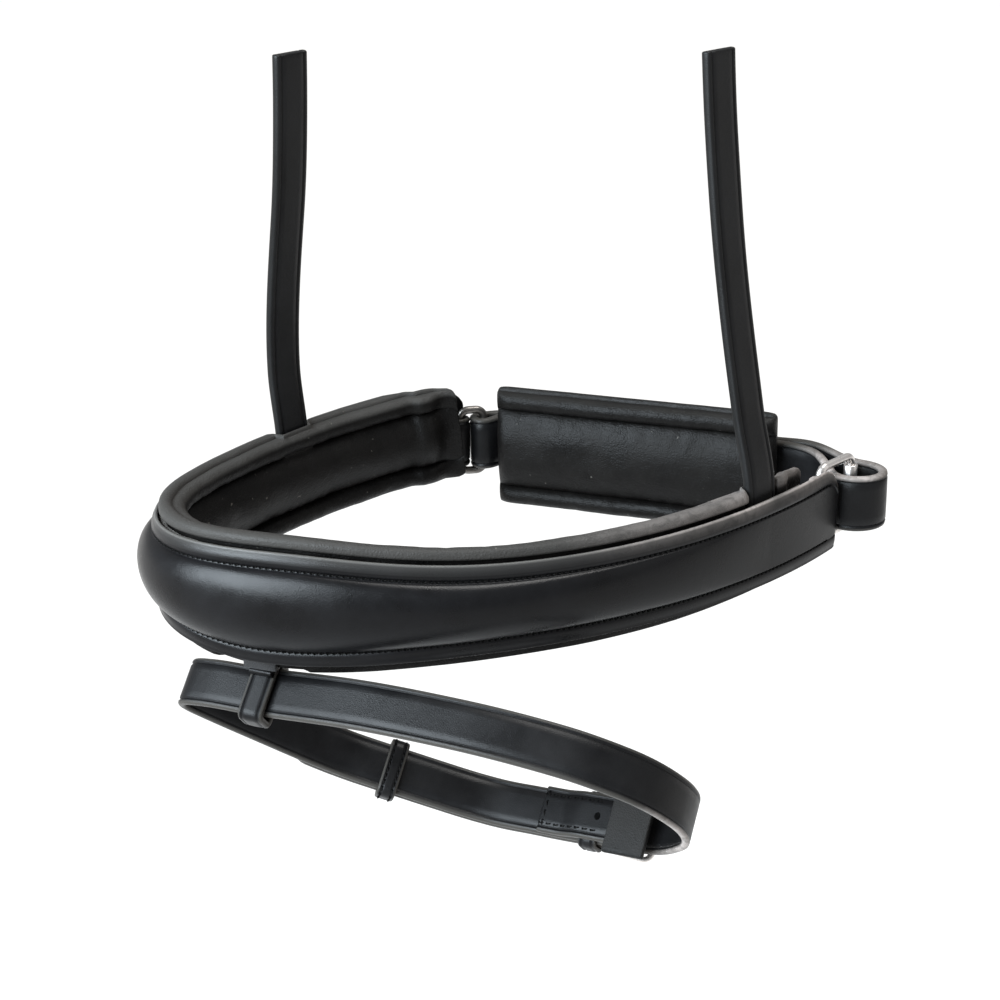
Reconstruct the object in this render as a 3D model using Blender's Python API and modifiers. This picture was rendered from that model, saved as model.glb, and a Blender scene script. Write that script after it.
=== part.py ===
"""Crank noseband: a padded nosepiece with a raised middle, a jaw strap that runs through a ring and
doubles back to its buckle, a padded jaw cushion, two hangers, and a flash strap on its tab.

Metres, +Z up. The nosepiece follows one flat line at z = 0 with its front toward -Y, and the origin
is the middle of the opening that the nose fills. Each leather piece is a block cut into rows, given
its outline and its section, and bent along a line. Lines lie in the XY plane of their own frame,
and the width of the leather stands along Z.
"""

import math

import bmesh
import bpy
import numpy as np
from mathutils import Matrix, Vector

COLLECTION = "crank_noseband"

# Gaps between pieces that touch: flat leather, leather or a tongue round a bar, leather bent under one
CLEARANCE = 0.0003
BAR_CLEARANCE = 0.0002
BEND_CLEARANCE = 0.0004

# Route of the nosepiece from the middle of its front: each run is a length and a turn in degrees
FRONT = (-0.0001, -0.0921)
FRONT_HEADING = 31.0
NEAR_RUNS = ((0.065, 27.0), (0.075, 25.0), (0.063, 15.5))
FAR_RUNS = ((0.020, -17.0), (0.028, -41.5), (0.030, -43.5), (0.050, -15.0), (0.0775, -20.7))
RUN_BLEND = 0.024
ROUTE_STEP = 0.0005
ROW_PITCH = 0.0098

# Outer leather of the nosepiece, with a raised roll between two sewn grooves
FACE_THICK = 0.0022
FACE_HEIGHT = 0.0272
FRONT_RISE = 0.0085
FRONT_RISE_REACH = 0.045
FACE_CORNER = 0.009
FACE_LOW_CORNER = 0.0016
FACE_END_DROP = 0.0018
FACE_DROP_REACH = 0.0900
CORNER_FILL = 0.8
FLANGE = 0.0046
GROOVE_DEEP = 0.0004
GROOVE_HALF = 0.0006
ROLL_RISE = 0.005
ROLL_FULL_REACH = 0.060
ROLL_REACH = 0.164
ROLL_ROWS = (0.0, 0.45, 0.85, 1.0)

# Layers behind the outer leather
BACKING_THICK = 0.0016
BACKING_INSET = 0.0010
BACKING_END = 0.020

# Lining cushion: sewn rolls along both edges, a crowned panel between them, flat flaps at the ends
LINING_TOP = 0.0030
LINING_LOW = 0.0040
LINING_ROLL = 0.0070
LINING_ROLL_THICK = 0.0066
LINING_PANEL_THICK = 0.0084
LINING_GROOVE_THICK = 0.0030
LINING_FLAP_THICK = 0.0020
NEAR_LINING_END = 0.0150
FAR_LINING_END = 0.0062
LINING_CORNER = 0.0030
LINING_PAST_FOLD = 0.0030
LINING_PAST_JOIN = 0.0020
LINING_PAST_CHAPE = 0.0010
FAR_LINING_LEAN = 0.0029
FAR_LINING_LEAN_REACH = 0.0300
FAR_LINING_LIFT = 0.0015
FAR_LINING_LIFT_REACH = 0.0800
LINING_RIM_THICK = 0.0024
LINING_RIM_SET_BACK = 0.0016
CUSHION_LEAST = 0.0012
LINING_FLAP = 0.0065
LINING_SWELL = 0.006
STEP_OVER_CHAPE = 0.003

# Hangers: thickness, width, ends of the sewn stretch, and each route above it as sideways place
# from the nosepiece line, height and heading
HANGER_THICK = 0.0030
HANGER_WIDTH = 0.0130
HANGER_TAIL = -0.0080
HANGER_FREE = 0.0120
NEAR_HANGER_AT = 0.0382
FAR_HANGER_FROM_END = 0.0760
NEAR_HANGER_ROUTE = ((-0.0100, 0.0400, 103.0), (-0.0205, 0.0900, 99.5), (-0.0280, 0.1475, 95.0))
FAR_HANGER_ROUTE = ((-0.0010, 0.0380, 89.0), (-0.0066, 0.0930, 98.0), (-0.0104, 0.1420, 92.0))

# Rings at the two ends, their leather chapes, and the roller that the jaw strap turns on
WIRE = 0.0014
NEAR_RING_INSIDE = 0.0220
FAR_RING_INSIDE = 0.0204
RING_CORNER = 0.0030
NEAR_RING_Z = -0.0002
NEAR_RING_LENGTH = 0.0174
NEAR_RING_HEADING = 90.0
FAR_RING_Z = -0.0044
FAR_RING_LENGTH = 0.0086
FAR_RING_HEADING = 56.0
RING_BAR_FROM_END = 0.0035
RING_CHAPE_WIDTH = 0.0180
RING_CHAPE_OUTER_END = 0.019
RING_CHAPE_INNER_END = 0.022
RING_CHAPE_JOIN = 0.012
ROLLER_WALL = 0.0007

# Jaw strap frame: u runs from the far ring to the near ring, h outward, and the strap climbs a little
JAW_ORIGIN = (-0.0090, 0.0820, -0.0030)
JAW_HEADING = 24.0
JAW_CLIMB = 1.72
JAW_WIDTH = 0.0190
JAW_THICK = 0.0030
JAW_TAIL_END = -0.0300
JAW_TAIL_TURN = -0.0460
JAW_RUN_START = -0.0490
JAW_RUN_END = 0.0500
JAW_DRIFT = (0.0585, -0.0022, -24.0)
JAW_PULL = 35.0
JAW_RING_PASS = -55.0
JAW_RING_SLACK = 0.0004
JAW_LOOP = ((0.0034, -0.0104, 8.0), (0.0114, -0.0023, 90.0), (0.0034, 0.0050, 172.0))
JAW_RETURN = (0.0590, 0.0030, 164.0)
JAW_RETURN_FLAT = 0.0480
JAW_BILLET_FALL = 0.0300
JAW_BILLET_CLIMB = 164.0
JAW_BILLET_JOIN = -0.0150
JAW_TIP = -0.0350
JAW_TIP_TAPER = 0.0090

# Jaw buckle: centre bar place along u, front bar place from it, wire and tongue
JAW_BAR_AT = -0.0030
JAW_BUCKLE_LENGTH = 0.0160
JAW_BUCKLE_RISE = 0.0052
JAW_BUCKLE_WIRE = 0.0015
JAW_TONGUE_WIRE = 0.0010
JAW_SLOT = (0.0045, -0.0012, -16.0)
JAW_CHAPE_THICK = 0.0018
JAW_CHAPE_END = -0.0250
JAW_CHAPE_JOIN = -0.0090

# Jaw cushion with its backing leather and the two sleeves that hold it on the strap
PAD_START = -0.0505
PAD_END = 0.0500
PAD_HEIGHT = 0.0425
PAD_THICK = 0.0086
PAD_ROLL = 0.0068
PAD_ROLL_THICK = 0.0066
PAD_GROOVE_THICK = 0.0030
PAD_RIM_THICK = 0.0024
PAD_RIM_SET_BACK = 0.0014
PAD_CORNER = 0.0022
PAD_SWELL = 0.0050
PAD_BACKING_THICK = 0.0020
PAD_BACKING_INSET = 0.0030
SLEEVE_THICK = 0.0016
SLEEVE_LENGTH = 0.0070
FAR_SLEEVE_AT = -0.0440
NEAR_SLEEVE_AT = 0.0420
JAW_KEEPER_WIDTH = 0.0070
JAW_FIXED_KEEPER_AT = -0.0170
JAW_RUNNER_AT = -0.0285

# Flash tab on the nosepiece and the loop that hangs from it
TAB_AT = 0.0048
TAB_THICK = 0.0016
TAB_WIDTH = 0.0280
TAB_NECK = 0.0110
TAB_TOP = -0.0080
HINGE_Z = -0.0226
HINGE_TURN = -3.6
LOOP_WIDTH = 0.0080
LOOP_LEATHER = 0.0020
LOOP_SLACK = 0.0013
LOOP_SIDE_SLACK = 0.0006

# Flash strap frame: origin on the hinge line, a along the strap at the tab, b inward and down
FLASH_TILT = 48.0
FLASH_OUT = 0.0068
FLASH_LOW = 0.0047
FLASH_WIDTH = 0.0150
FLASH_THICK = 0.0024
FLASH_BAR = (0.0980, 0.0665, 174.0)
FLASH_MAIN = (
    (0.0720, 0.0702, 180.0),
    (0.0560, 0.0710, 188.0),
    (0.0420, 0.0668, 204.0),
    (0.0160, 0.0547, 205.5),
    (-0.0100, 0.0320, 228.0),
    (-0.0255, 0.0140, 232.0),
    (-0.0285, 0.0075, 275.0),
    (-0.0200, 0.0020, 345.0),
    (0.0000, 0.0000, 350.0),
    (0.0310, -0.0060, 353.0),
    (0.0630, -0.0065, 3.0),
    (0.0940, -0.0005, 18.0),
    (0.1107, 0.0088, 37.0),
    (0.1236, 0.0278, 70.0),
    (0.1253, 0.0400, 93.0),
    (0.1213, 0.0532, 123.0),
)
FLASH_LEAF_END = 0.0050
FLASH_TAIL_LENGTH = 0.0210
FLASH_BILLET_JOIN = 0.0008
FLASH_BILLET_END = 0.1065
FLASH_TIP_TAPER = 0.0080
FLASH_BUCKLE_LENGTH = 0.0114
FLASH_BUCKLE_RISE = 0.0045
FLASH_BUCKLE_WIRE = 0.0011
FLASH_TONGUE_WIRE = 0.0009
FLASH_SLOT = (0.0040, -0.0010, -14.0)
FLASH_BILLET_CLIMB = 166.0
FLASH_KEEPER_WIDTH = 0.0060
FLASH_FIXED_KEEPER_AT = 0.0036
FLASH_KEEPER_THICK = 0.0012
FLASH_GUARD = (-0.0010, 0.0125)
FLASH_GUARD_WIDTH = 0.0224
FLASH_GUARD_THICK = 0.0024
FLASH_RUNNER_AT = 0.0725

# Shared details of straps, keepers and buckles
BEVEL = 0.0005
SLIT_SIDE = 0.0005
TONGUE_SLOT_LENGTH = 0.0120
TONGUE_SLOT_WIDTH = 0.0040
TONGUE_OVERHANG = 0.0030
FRAME_SIDE_CLEARANCE = 0.0006
FRAME_CORNER = 0.0024
KEEPER_THICK = 0.0016
KEEPER_CORNER = 0.0015
KEEPER_SLACK = 0.0004
HOLE_RADIUS = 0.0016
HOLE_PITCH = 0.0190
HOLE_SIDES = 12
TUBE_SIDES = 16
CUT_PAST = 0.0020

# Finish of each kind of piece: colour, roughness, metallic
BRIDLE_LEATHER = ((0.012, 0.012, 0.014, 1.0), 0.34, 0.0)
SOFT_LEATHER = ((0.018, 0.018, 0.019, 1.0), 0.52, 0.0)
CORE = ((0.10, 0.09, 0.08, 1.0), 0.9, 0.0)
NICKEL = ((0.72, 0.71, 0.69, 1.0), 0.18, 1.0)


# Lines and curves

def unit(heading):
    """Unit vectors for headings in degrees."""
    turn = np.radians(heading)
    return np.stack([np.cos(turn), np.sin(turn)], -1)


def left_of(way):
    return np.stack([-way[..., 1], way[..., 0]], -1)


class Line:
    """A route in a plane, read by its arc length, that runs on straight past both its ends."""

    def __init__(self, points):
        points = np.asarray(points, float)
        apart = np.hypot(*np.diff(points, axis=0).T) > 1e-7
        self.points = points[np.concatenate([[True], apart])]
        steps = np.hypot(*np.diff(self.points, axis=0).T)
        self.at = np.concatenate([[0.0], np.cumsum(steps)])
        self.length = self.at[-1]
        slopes = np.gradient(self.points, self.at, axis=0)
        self.ways = slopes / np.hypot(*slopes.T)[:, None]

    def way(self, s):
        inside = np.clip(s, 0.0, self.length)
        way = np.stack([np.interp(inside, self.at, self.ways[:, i]) for i in (0, 1)], -1)
        return way / np.hypot(way[..., 0], way[..., 1])[..., None]

    def spot(self, s, left=0.0):
        """Points at these arc lengths, moved sideways to the left."""
        s = np.asarray(s, float)
        inside = np.clip(s, 0.0, self.length)
        point = np.stack([np.interp(inside, self.at, self.points[:, i]) for i in (0, 1)], -1)
        way = self.way(s)
        past = (s - inside)[..., None]
        return point + way * past + left_of(way) * (np.zeros_like(s) + left)[..., None]

    def anchor(self, s, left=0.0, back=False):
        """Place and heading beside the line, for a curve that meets it."""
        way = self.way(s) * (-1 if back else 1)
        x, y = self.spot(s, left)
        return x, y, math.degrees(math.atan2(way[1], way[0]))

    def beside(self, first, last, left):
        """Close points beside the line from one arc length to another."""
        count = max(2, int(abs(last - first) / ROUTE_STEP))
        return self.spot(np.linspace(first, last, count), left)

    def rows(self, first, last, turn=14.0, longest=0.014):
        """Arc lengths from first to last, closer together where the line bends more."""
        fine = np.linspace(first, last, max(8, int((last - first) / ROUTE_STEP)))
        ways = self.way(fine)
        bend = np.degrees(np.arccos(np.clip((ways[1:] * ways[:-1]).sum(1), -1.0, 1.0)))
        cost = np.concatenate([[0.0], np.cumsum(bend / turn + np.diff(fine) / longest)])
        count = max(2, int(math.ceil(cost[-1])) + 1)
        return np.interp(np.linspace(0.0, cost[-1], count), cost, fine)


def runs_line(start, heading, runs):
    """A route made of runs, each bending evenly, with the bends blended into one another."""
    counts = [int(round(length / ROUTE_STEP)) for length, _ in runs]
    bends = [np.full(n, math.radians(turn) / length) for n, (length, turn) in zip(counts, runs)]
    bends = np.concatenate(bends)
    window = int(RUN_BLEND / ROUTE_STEP) | 1
    padded = np.pad(bends, window // 2, mode="edge")
    bends = np.convolve(padded, np.ones(window) / window, mode="valid")
    turns = math.radians(heading) + np.concatenate([[0.0], np.cumsum(bends * ROUTE_STEP)])
    middle = (turns[1:] + turns[:-1]) / 2
    steps = np.stack([np.cos(middle), np.sin(middle)], 1) * ROUTE_STEP
    return np.vstack([[0.0, 0.0], np.cumsum(steps, axis=0)]) + start


def curve(anchors):
    """Close points on a smooth curve through anchors of x, y and heading in degrees."""
    parts = []
    for (x0, y0, from_way), (x1, y1, to_way) in zip(anchors, anchors[1:]):
        start, end = np.array([x0, y0]), np.array([x1, y1])
        chord = math.hypot(*(end - start))
        turn = abs((to_way - from_way + 180.0) % 360.0 - 180.0)
        half = math.radians(max(turn, 0.5)) / 2
        handle = chord * (2 / 3) * math.tan(half / 2) / math.sin(half)
        inner = start + unit(from_way) * handle
        outer = end - unit(to_way) * handle
        t = np.linspace(0.0, 1.0, max(4, int(chord / ROUTE_STEP)))[:, None]
        parts.append((1 - t) ** 3 * start + 3 * (1 - t) ** 2 * t * inner
                     + 3 * (1 - t) * t ** 2 * outer + t ** 3 * end)
    return np.vstack(parts)


def moved(anchors, x, y, heading=0.0):
    """Anchors given from a place and heading, as anchors of the frame around it."""
    way = unit(heading)
    side = left_of(way)
    result = []
    for u, h, turn in anchors:
        point = np.array([x, y]) + way * u + side * h
        result.append((point[0], point[1], turn + heading))
    return result


def fold(radius, heading=0.0, x=0.0, y=0.0):
    """Half a turn round a bar: in below it, out above it."""
    half = ((0.0, -radius, 0.0), (radius, 0.0, 90.0), (0.0, radius, 180.0))
    return moved(half, x, y, heading)


def rounded_box(x0, x1, y0, y1, corner, steps=3):
    """Outline of a box with round corners, anticlockwise."""
    points = []
    for x, y, start in ((x1, y1, 0), (x0, y1, 90), (x0, y0, 180), (x1, y0, 270)):
        middle = np.array([x - math.copysign(corner, x - (x0 + x1) / 2),
                           y - math.copysign(corner, y - (y0 + y1) / 2)])
        for angle in np.linspace(start, start + 90, steps + 1):
            points.append(tuple(middle + unit(angle) * corner))
    return points


# Objects

def empty(name, matrix, parent=None):
    """An axis or frame that pieces hang from."""
    obj = bpy.data.objects.new(name, None)
    obj.empty_display_size = 0.01
    obj.parent = parent
    obj.matrix_basis = matrix
    parts.objects.link(obj)
    return obj


def add(name, data, finish, parent=None, matrix=None):
    """An object with its own finish, in its parent's frame."""
    obj = bpy.data.objects.new(name, data)
    obj.parent = parent
    obj.matrix_basis = matrix or Matrix()
    parts.objects.link(obj)
    material = bpy.data.materials.new(name)
    material.use_nodes = True
    shader = material.node_tree.nodes["Principled BSDF"]
    colour, roughness, metallic = finish
    shader.inputs["Base Color"].default_value = colour
    shader.inputs["Roughness"].default_value = roughness
    shader.inputs["Metallic"].default_value = metallic
    material.diffuse_color = colour
    data.materials.append(material)
    return obj


def cutter(name, data, parent=None, matrix=None):
    obj = bpy.data.objects.new(name, data)
    obj.parent = parent
    obj.matrix_basis = matrix or Matrix()
    obj.hide_render = True
    obj.display_type = "WIRE"
    cutters.objects.link(obj)
    return obj


def cut(obj, *tools):
    for tool in tools:
        modifier = obj.modifiers.new(tool.name, "BOOLEAN")
        modifier.operation = "DIFFERENCE"
        modifier.object = tool


def mesh_of(bm, name, sharp=40.0):
    mesh = bpy.data.meshes.new(name)
    bm.to_mesh(mesh)
    bm.free()
    mesh.shade_smooth()
    mesh.set_sharp_from_angle(angle=math.radians(sharp))
    return mesh


def block(along, across):
    """A unit block cut into rows along X and Z."""
    bm = bmesh.new()
    bmesh.ops.create_cube(bm, size=1.0)
    for axis, rows in ((0, along), (2, across)):
        edges = [e for e in bm.edges if abs((e.verts[0].co - e.verts[1].co)[axis]) > 1e-4]
        bmesh.ops.subdivide_edges(bm, edges=edges, cuts=rows - 2, use_grid_fill=True)
    return bm


def bent(name, line, stations, across, shape):
    """Leather cut from a block and bent along a line. Stations are arc lengths, across are the rows
    from edge to edge, and shape turns arrays of both into arc length, height, left and right face."""
    bm = block(len(stations), len(across))
    bm.verts.ensure_lookup_table()
    place = np.array([v.co for v in bm.verts]) + 0.5
    s = np.interp(place[:, 0], np.linspace(0, 1, len(stations)), stations)
    v = np.interp(place[:, 2], np.linspace(0, 1, len(across)), across)
    s, height, left, right = shape(s, v)
    flat = line.spot(s, right + place[:, 1] * (left - right))
    for vert, (x, y), z in zip(bm.verts, flat, height):
        vert.co = (x, y, z)
    return mesh_of(bm, name)


EDGE_ROWS = (-1.0, -0.5, 0.5, 1.0)


def strap_shape(half, thick, middle=0.0, height=0.0):
    """Section of plain leather with its edges taken off. Half is its half width or a function."""
    def shape(s, v):
        wide = half(s) if callable(half) else half
        rim = np.abs(v) > 0.75
        c = np.sign(v) * (wide - np.where(rim, 0.0, BEVEL)) + height
        side = thick / 2 - np.where(rim, BEVEL, 0.0)
        return s, c, middle + side, middle - side
    return shape


def tip_half(half, end, taper):
    """Half width that closes to a rounded point at the end of a strap."""
    def wide(s):
        near = np.clip((end - s) / taper, 0.02, 1.0)
        return half * (0.12 + 0.88 * np.sqrt(1 - (1 - near) ** 2))
    return wide


def outline_piece(name, loops, depth):
    """A flat outline with its holes, as thick as depth on both sides of its plane."""
    data = bpy.data.curves.new(name, "CURVE")
    data.dimensions = "2D"
    data.fill_mode = "BOTH"
    data.extrude = depth / 2
    for loop in loops:
        spline = data.splines.new("POLY")
        spline.points.add(len(loop) - 1)
        for point, (x, y) in zip(spline.points, loop):
            point.co = (x, y, 0.0, 1.0)
        spline.use_cyclic_u = True
    return data


def wire(name, points, radius, closed=False):
    """Round wire along points."""
    data = bpy.data.curves.new(name, "CURVE")
    data.dimensions = "3D"
    data.bevel_depth = radius
    data.bevel_resolution = 2
    data.use_fill_caps = True
    spline = data.splines.new("POLY")
    spline.points.add(len(points) - 1)
    for point, place in zip(spline.points, points):
        point.co = (*place, 1.0)
    spline.use_cyclic_u = closed
    return data


def tube(name, inner, outer, length):
    """A short tube turned round its own Z axis."""
    half = length / 2
    bm = bmesh.new()
    profile = ((outer, half), (outer, -half), (inner, -half), (inner, half))
    verts = [bm.verts.new((x, 0.0, z)) for x, z in profile]
    for first, second in zip(verts, verts[1:] + verts[:1]):
        bm.edges.new((first, second))
    return mesh_of(bm, name)


def turned(obj):
    screw = obj.modifiers.new("Turn", "SCREW")
    screw.axis = "Z"
    screw.steps = TUBE_SIDES
    screw.render_steps = TUBE_SIDES
    screw.use_merge_vertices = True
    screw.merge_threshold = 0.00001


def punch(name, radius_x, radius_y, depth):
    """An oval punch along Z."""
    bm = bmesh.new()
    bmesh.ops.create_cone(bm, cap_ends=True, segments=HOLE_SIDES, radius1=1.0, radius2=1.0, depth=depth)
    bmesh.ops.scale(bm, vec=(radius_x, radius_y, 1.0), verts=bm.verts)
    return mesh_of(bm, name)


def frame_at(x, y, heading, z=0.0):
    return Matrix.Translation((x, y, z)) @ Matrix.Rotation(math.radians(heading), 4, "Z")


def across_strap(line, s, z=0.0):
    """Frame of a keeper round a strap: X to the left of it, Y along its width, Z along it."""
    x, y, heading = line.anchor(s)
    turned_axes = Matrix(((0, 0, 1, 0), (1, 0, 0, 0), (0, 1, 0, 0), (0, 0, 0, 1)))
    return frame_at(x, y, heading, z) @ turned_axes


def keeper(name, low, high, width, thick, length):
    """A leather loop round what lies between low and high, with slack on every side."""
    inner = (low - KEEPER_SLACK, high + KEEPER_SLACK, -width / 2 - KEEPER_SLACK, width / 2 + KEEPER_SLACK)
    outer = (inner[0] - thick, inner[1] + thick, inner[2] - thick, inner[3] + thick)
    loops = (rounded_box(*outer, KEEPER_CORNER + thick), rounded_box(*inner, KEEPER_CORNER / 3, steps=1))
    return outline_piece(name, loops, length)


def ring_wire(name, length, inside, corner):
    """Rectangular wire ring: one bar on the Z axis, the other at +X."""
    half = inside / 2 + WIRE
    return wire(name, [(x, 0.0, z) for x, z in rounded_box(0.0, length, -half, half, corner)], WIRE, True)


# Nosepiece

def nosepiece_height(s):
    """Height of the outer leather, greatest at the middle of the front."""
    from_front = (s - FRONT_AT) / FRONT_RISE_REACH
    return FACE_HEIGHT + FRONT_RISE * np.exp(-from_front ** 2)


def roll_rise(s):
    """How far the roll stands out, full round the front and gone before the ends."""
    reach = np.clip((np.abs(s - FRONT_AT) - ROLL_FULL_REACH) / (ROLL_REACH - ROLL_FULL_REACH), 0.0, 1.0)
    return ROLL_RISE * (1 - reach)


def roll_profile(r):
    """Share of the roll's rise at r, from 0 at its middle to 1 at a groove, straight between rows."""
    rows = np.array(ROLL_ROWS)
    return np.interp(np.abs(r), rows, (1 - rows ** 2) ** 0.6)


def corner_inset(end, corner):
    """How much a round corner takes off an edge at this distance from the end."""
    near = np.clip(end / corner, 0.0, 1.0)
    return corner * (1 - np.sqrt(1 - (1 - near) ** 2))


def face_rows():
    """Rows of the outer leather: the roll within -1 to 1, then groove, flange and edge on each side."""
    roll = [r for r in ROLL_ROWS if r > 0.0]
    side = roll + [2.0, 3.0, 4.0, 5.0]
    return [-r for r in reversed(side)] + [0.0] + side


def nosepiece_leather():
    insets = (FLANGE + GROOVE_HALF, FLANGE, FLANGE - GROOVE_HALF, BEVEL, 0.0)

    def shape(s, r):
        end = np.minimum(s, NOSE.length - s)
        corner = np.where(r > 0, corner_inset(end, FACE_CORNER), corner_inset(end, FACE_LOW_CORNER))
        drop = np.where(r < 0, FACE_END_DROP * np.clip(1 - end / FACE_DROP_REACH, 0.0, 1.0), 0.0)
        edge = nosepiece_height(s) / 2 + drop - corner * CORNER_FILL
        inset = np.interp(np.abs(r), (1.0, 2.0, 3.0, 4.0, 5.0), insets)
        half_roll = edge - FLANGE - GROOVE_HALF
        height = np.where(np.abs(r) <= 1.0, r * half_roll, np.sign(r) * (edge - inset))
        rise = roll_rise(s) * roll_profile(np.clip(r, -1.0, 1.0))
        groove = np.where(np.abs(np.abs(r) - 2.0) < 0.1, GROOVE_DEEP, 0.0)
        rim = np.where(np.abs(r) > 4.5, BEVEL, 0.0)
        return s, height, FACE_THICK + rise - groove - rim, rise + rim

    ends = np.array([0.0, 0.001, 0.003, 0.0055])
    stations = np.concatenate([ends, GRID, NOSE.length - ends[::-1]])
    mesh = bent("nosepiece_leather", NOSE, stations, face_rows(), shape)
    add("nosepiece_leather", mesh, BRIDLE_LEATHER)


def nosepiece_filler():
    """Felt core that holds the roll up."""
    last = 0.93
    rows = [r for r in ROLL_ROWS if 0.0 < r < last] + [last]
    across = [-r for r in reversed(rows)] + [0.0] + rows

    def shape(s, r):
        half_roll = nosepiece_height(s) / 2 - FLANGE - GROOVE_HALF
        rise = roll_rise(s) * roll_profile(r)
        return s, r * half_roll, rise - CLEARANCE, np.zeros_like(s)

    reach = GRID[(roll_rise(GRID) * roll_profile(last) > 2 * CLEARANCE)]
    add("nosepiece_filler", bent("nosepiece_filler", NOSE, reach, across, shape), CORE)


def nosepiece_backing():
    def half(s):
        return nosepiece_height(s) / 2 - BACKING_INSET
    shape = strap_shape(half, BACKING_THICK, -CLEARANCE - BACKING_THICK / 2)
    inner = GRID[(GRID > BACKING_END + 0.002) & (GRID < NOSE.length - BACKING_END - 0.002)]
    stations = np.concatenate([[BACKING_END], inner, [NOSE.length - BACKING_END]])
    add("nosepiece_backing", bent("nosepiece_backing", NOSE, stations, EDGE_ROWS, shape), CORE)


CUSHION_ROWS = (-1.0, -0.8, -0.6, -0.4, -0.2, 0.0, 0.2, 0.4, 0.6, 0.8, 1.0)


def cushion_section(v, low, high, roll, roll_thick, groove_thick, panel_thick, rim_thick):
    """Height and thickness of a cushion with a sewn roll along each edge and a crowned panel."""
    size = np.abs(v)
    inset = np.interp(size, (0.2, 0.4, 0.6, 0.8, 1.0), (1.3 * roll, roll, 0.72 * roll, 0.2 * roll, 0.0))
    sides = np.where(v > 0, high - inset, low + inset)
    panel = (low + high) / 2 + v / 0.2 * ((high - low) / 2 - 1.3 * roll)
    height = np.where(size < 0.2, panel, sides)
    rows = (0.0, 0.2, 0.4, 0.6, 0.8, 1.0)
    thick = (panel_thick, 0.8 * panel_thick, groove_thick, roll_thick, 0.95 * roll_thick, rim_thick)
    return height, np.interp(size, rows, thick)


def lining_outer(end, first):
    """Offset of the lining's outer side, which steps over the chape and lifts over its fold."""
    over_chape = LAYER - TAB_THICK - CLEARANCE
    over_fold = RING_BAR_LAYER - fold_radius(WIRE, TAB_THICK) - TAB_THICK / 2 - CLEARANCE
    fold_end = RING_BAR_FROM_END + LINING_PAST_FOLD
    join = RING_CHAPE_JOIN + LINING_PAST_JOIN
    chape_end = RING_CHAPE_INNER_END + LINING_PAST_CHAPE
    return np.interp(end, (fold_end, join, chape_end, chape_end + STEP_OVER_CHAPE),
                     (over_fold if first < join else over_chape, over_chape, over_chape, LAYER))


def lining_ends(first):
    """Rows near one end of the lining, measured from the end of the nosepiece."""
    chape_end = RING_CHAPE_INNER_END + LINING_PAST_CHAPE
    flap = first + LINING_FLAP
    rows = [first, first + LINING_CORNER / 4, flap, flap + LINING_SWELL / 5, flap + LINING_SWELL / 2,
            chape_end, chape_end + STEP_OVER_CHAPE]
    over_chape = (RING_BAR_FROM_END + LINING_PAST_FOLD, RING_CHAPE_JOIN + LINING_PAST_JOIN)
    rows += [end for end in over_chape if end > first]
    return np.array(sorted(rows))


def nosepiece_lining():
    middle = NOSE.length / 2

    def shape(s, v):
        first = np.where(s < middle, NEAR_LINING_END, FAR_LINING_END)
        end = np.minimum(s, NOSE.length - s)
        body = nosepiece_height(s) / 2
        trim = corner_inset(end - first, LINING_CORNER) * CORNER_FILL
        from_far = NOSE.length - s
        lift = FAR_LINING_LIFT * np.clip(1 - from_far / FAR_LINING_LIFT_REACH, 0.0, 1.0)
        low = lift - body - LINING_LOW + trim
        high = lift + body + LINING_TOP - trim
        height, thick = cushion_section(v, low, high, LINING_ROLL, LINING_ROLL_THICK,
                                        LINING_GROOVE_THICK, LINING_PANEL_THICK, LINING_RIM_THICK)
        lean = FAR_LINING_LEAN * np.clip(1 - from_far / FAR_LINING_LEAN_REACH, 0.0, 1.0)
        swell = np.clip((end - first - LINING_FLAP) / LINING_SWELL, 0.0, 1.0)
        swell = np.sqrt(1 - (1 - swell) ** 2)
        thick = LINING_FLAP_THICK + (thick - LINING_FLAP_THICK) * swell
        outer = np.where(s < middle, lining_outer(end, NEAR_LINING_END), lining_outer(end, FAR_LINING_END))
        rim = np.where(np.abs(v) > 0.9, LINING_RIM_SET_BACK * swell, 0.0)
        inner = outer - np.maximum(thick, rim + CUSHION_LEAST)
        return s - lean * height / (body + LINING_TOP), height, outer - rim, inner

    near_ends = lining_ends(NEAR_LINING_END)
    far_ends = NOSE.length - lining_ends(FAR_LINING_END)[::-1]
    inner = GRID[(GRID > near_ends[-1] + 0.002) & (GRID < far_ends[0] - 0.002)]
    stations = np.concatenate([near_ends, inner, far_ends])
    mesh = bent("nosepiece_lining", NOSE, stations, CUSHION_ROWS, shape)
    lining = add("nosepiece_lining", mesh, SOFT_LEATHER)
    half = HANGER_WIDTH / 2
    past = HANGER_WIDTH * 3
    cut(lining,
        layer_cutter("near_hanger_notch", NEAR_HANGER_S, half, HANGER_THICK, HANGER_TAIL, past),
        layer_cutter("far_hanger_notch", FAR_HANGER_S, half, HANGER_THICK, HANGER_TAIL, past),
        layer_cutter("tab_notch", TAB_S, TAB_WIDTH / 2, TAB_THICK, -past, TAB_TOP))


def layer_cutter(name, at, half, thick, low, high):
    """Room in the lining for leather sewn between it and the backing."""
    reach = half + 1.5 * CLEARANCE
    stations = NOSE.rows(at - reach, at + reach, longest=ROW_PITCH / 2)
    below = low - CLEARANCE if low > -HANGER_WIDTH else low
    above = high + CLEARANCE if high < HANGER_WIDTH else high

    def shape(s, v):
        height = np.where(v > 0, above, below)
        inner = LAYER - thick - 1.5 * CLEARANCE
        return s, height, np.full_like(s, LAYER + CUT_PAST), np.full_like(s, inner)
    return cutter(name, bent(name, NOSE, stations, (-1.0, 1.0), shape))


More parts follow.
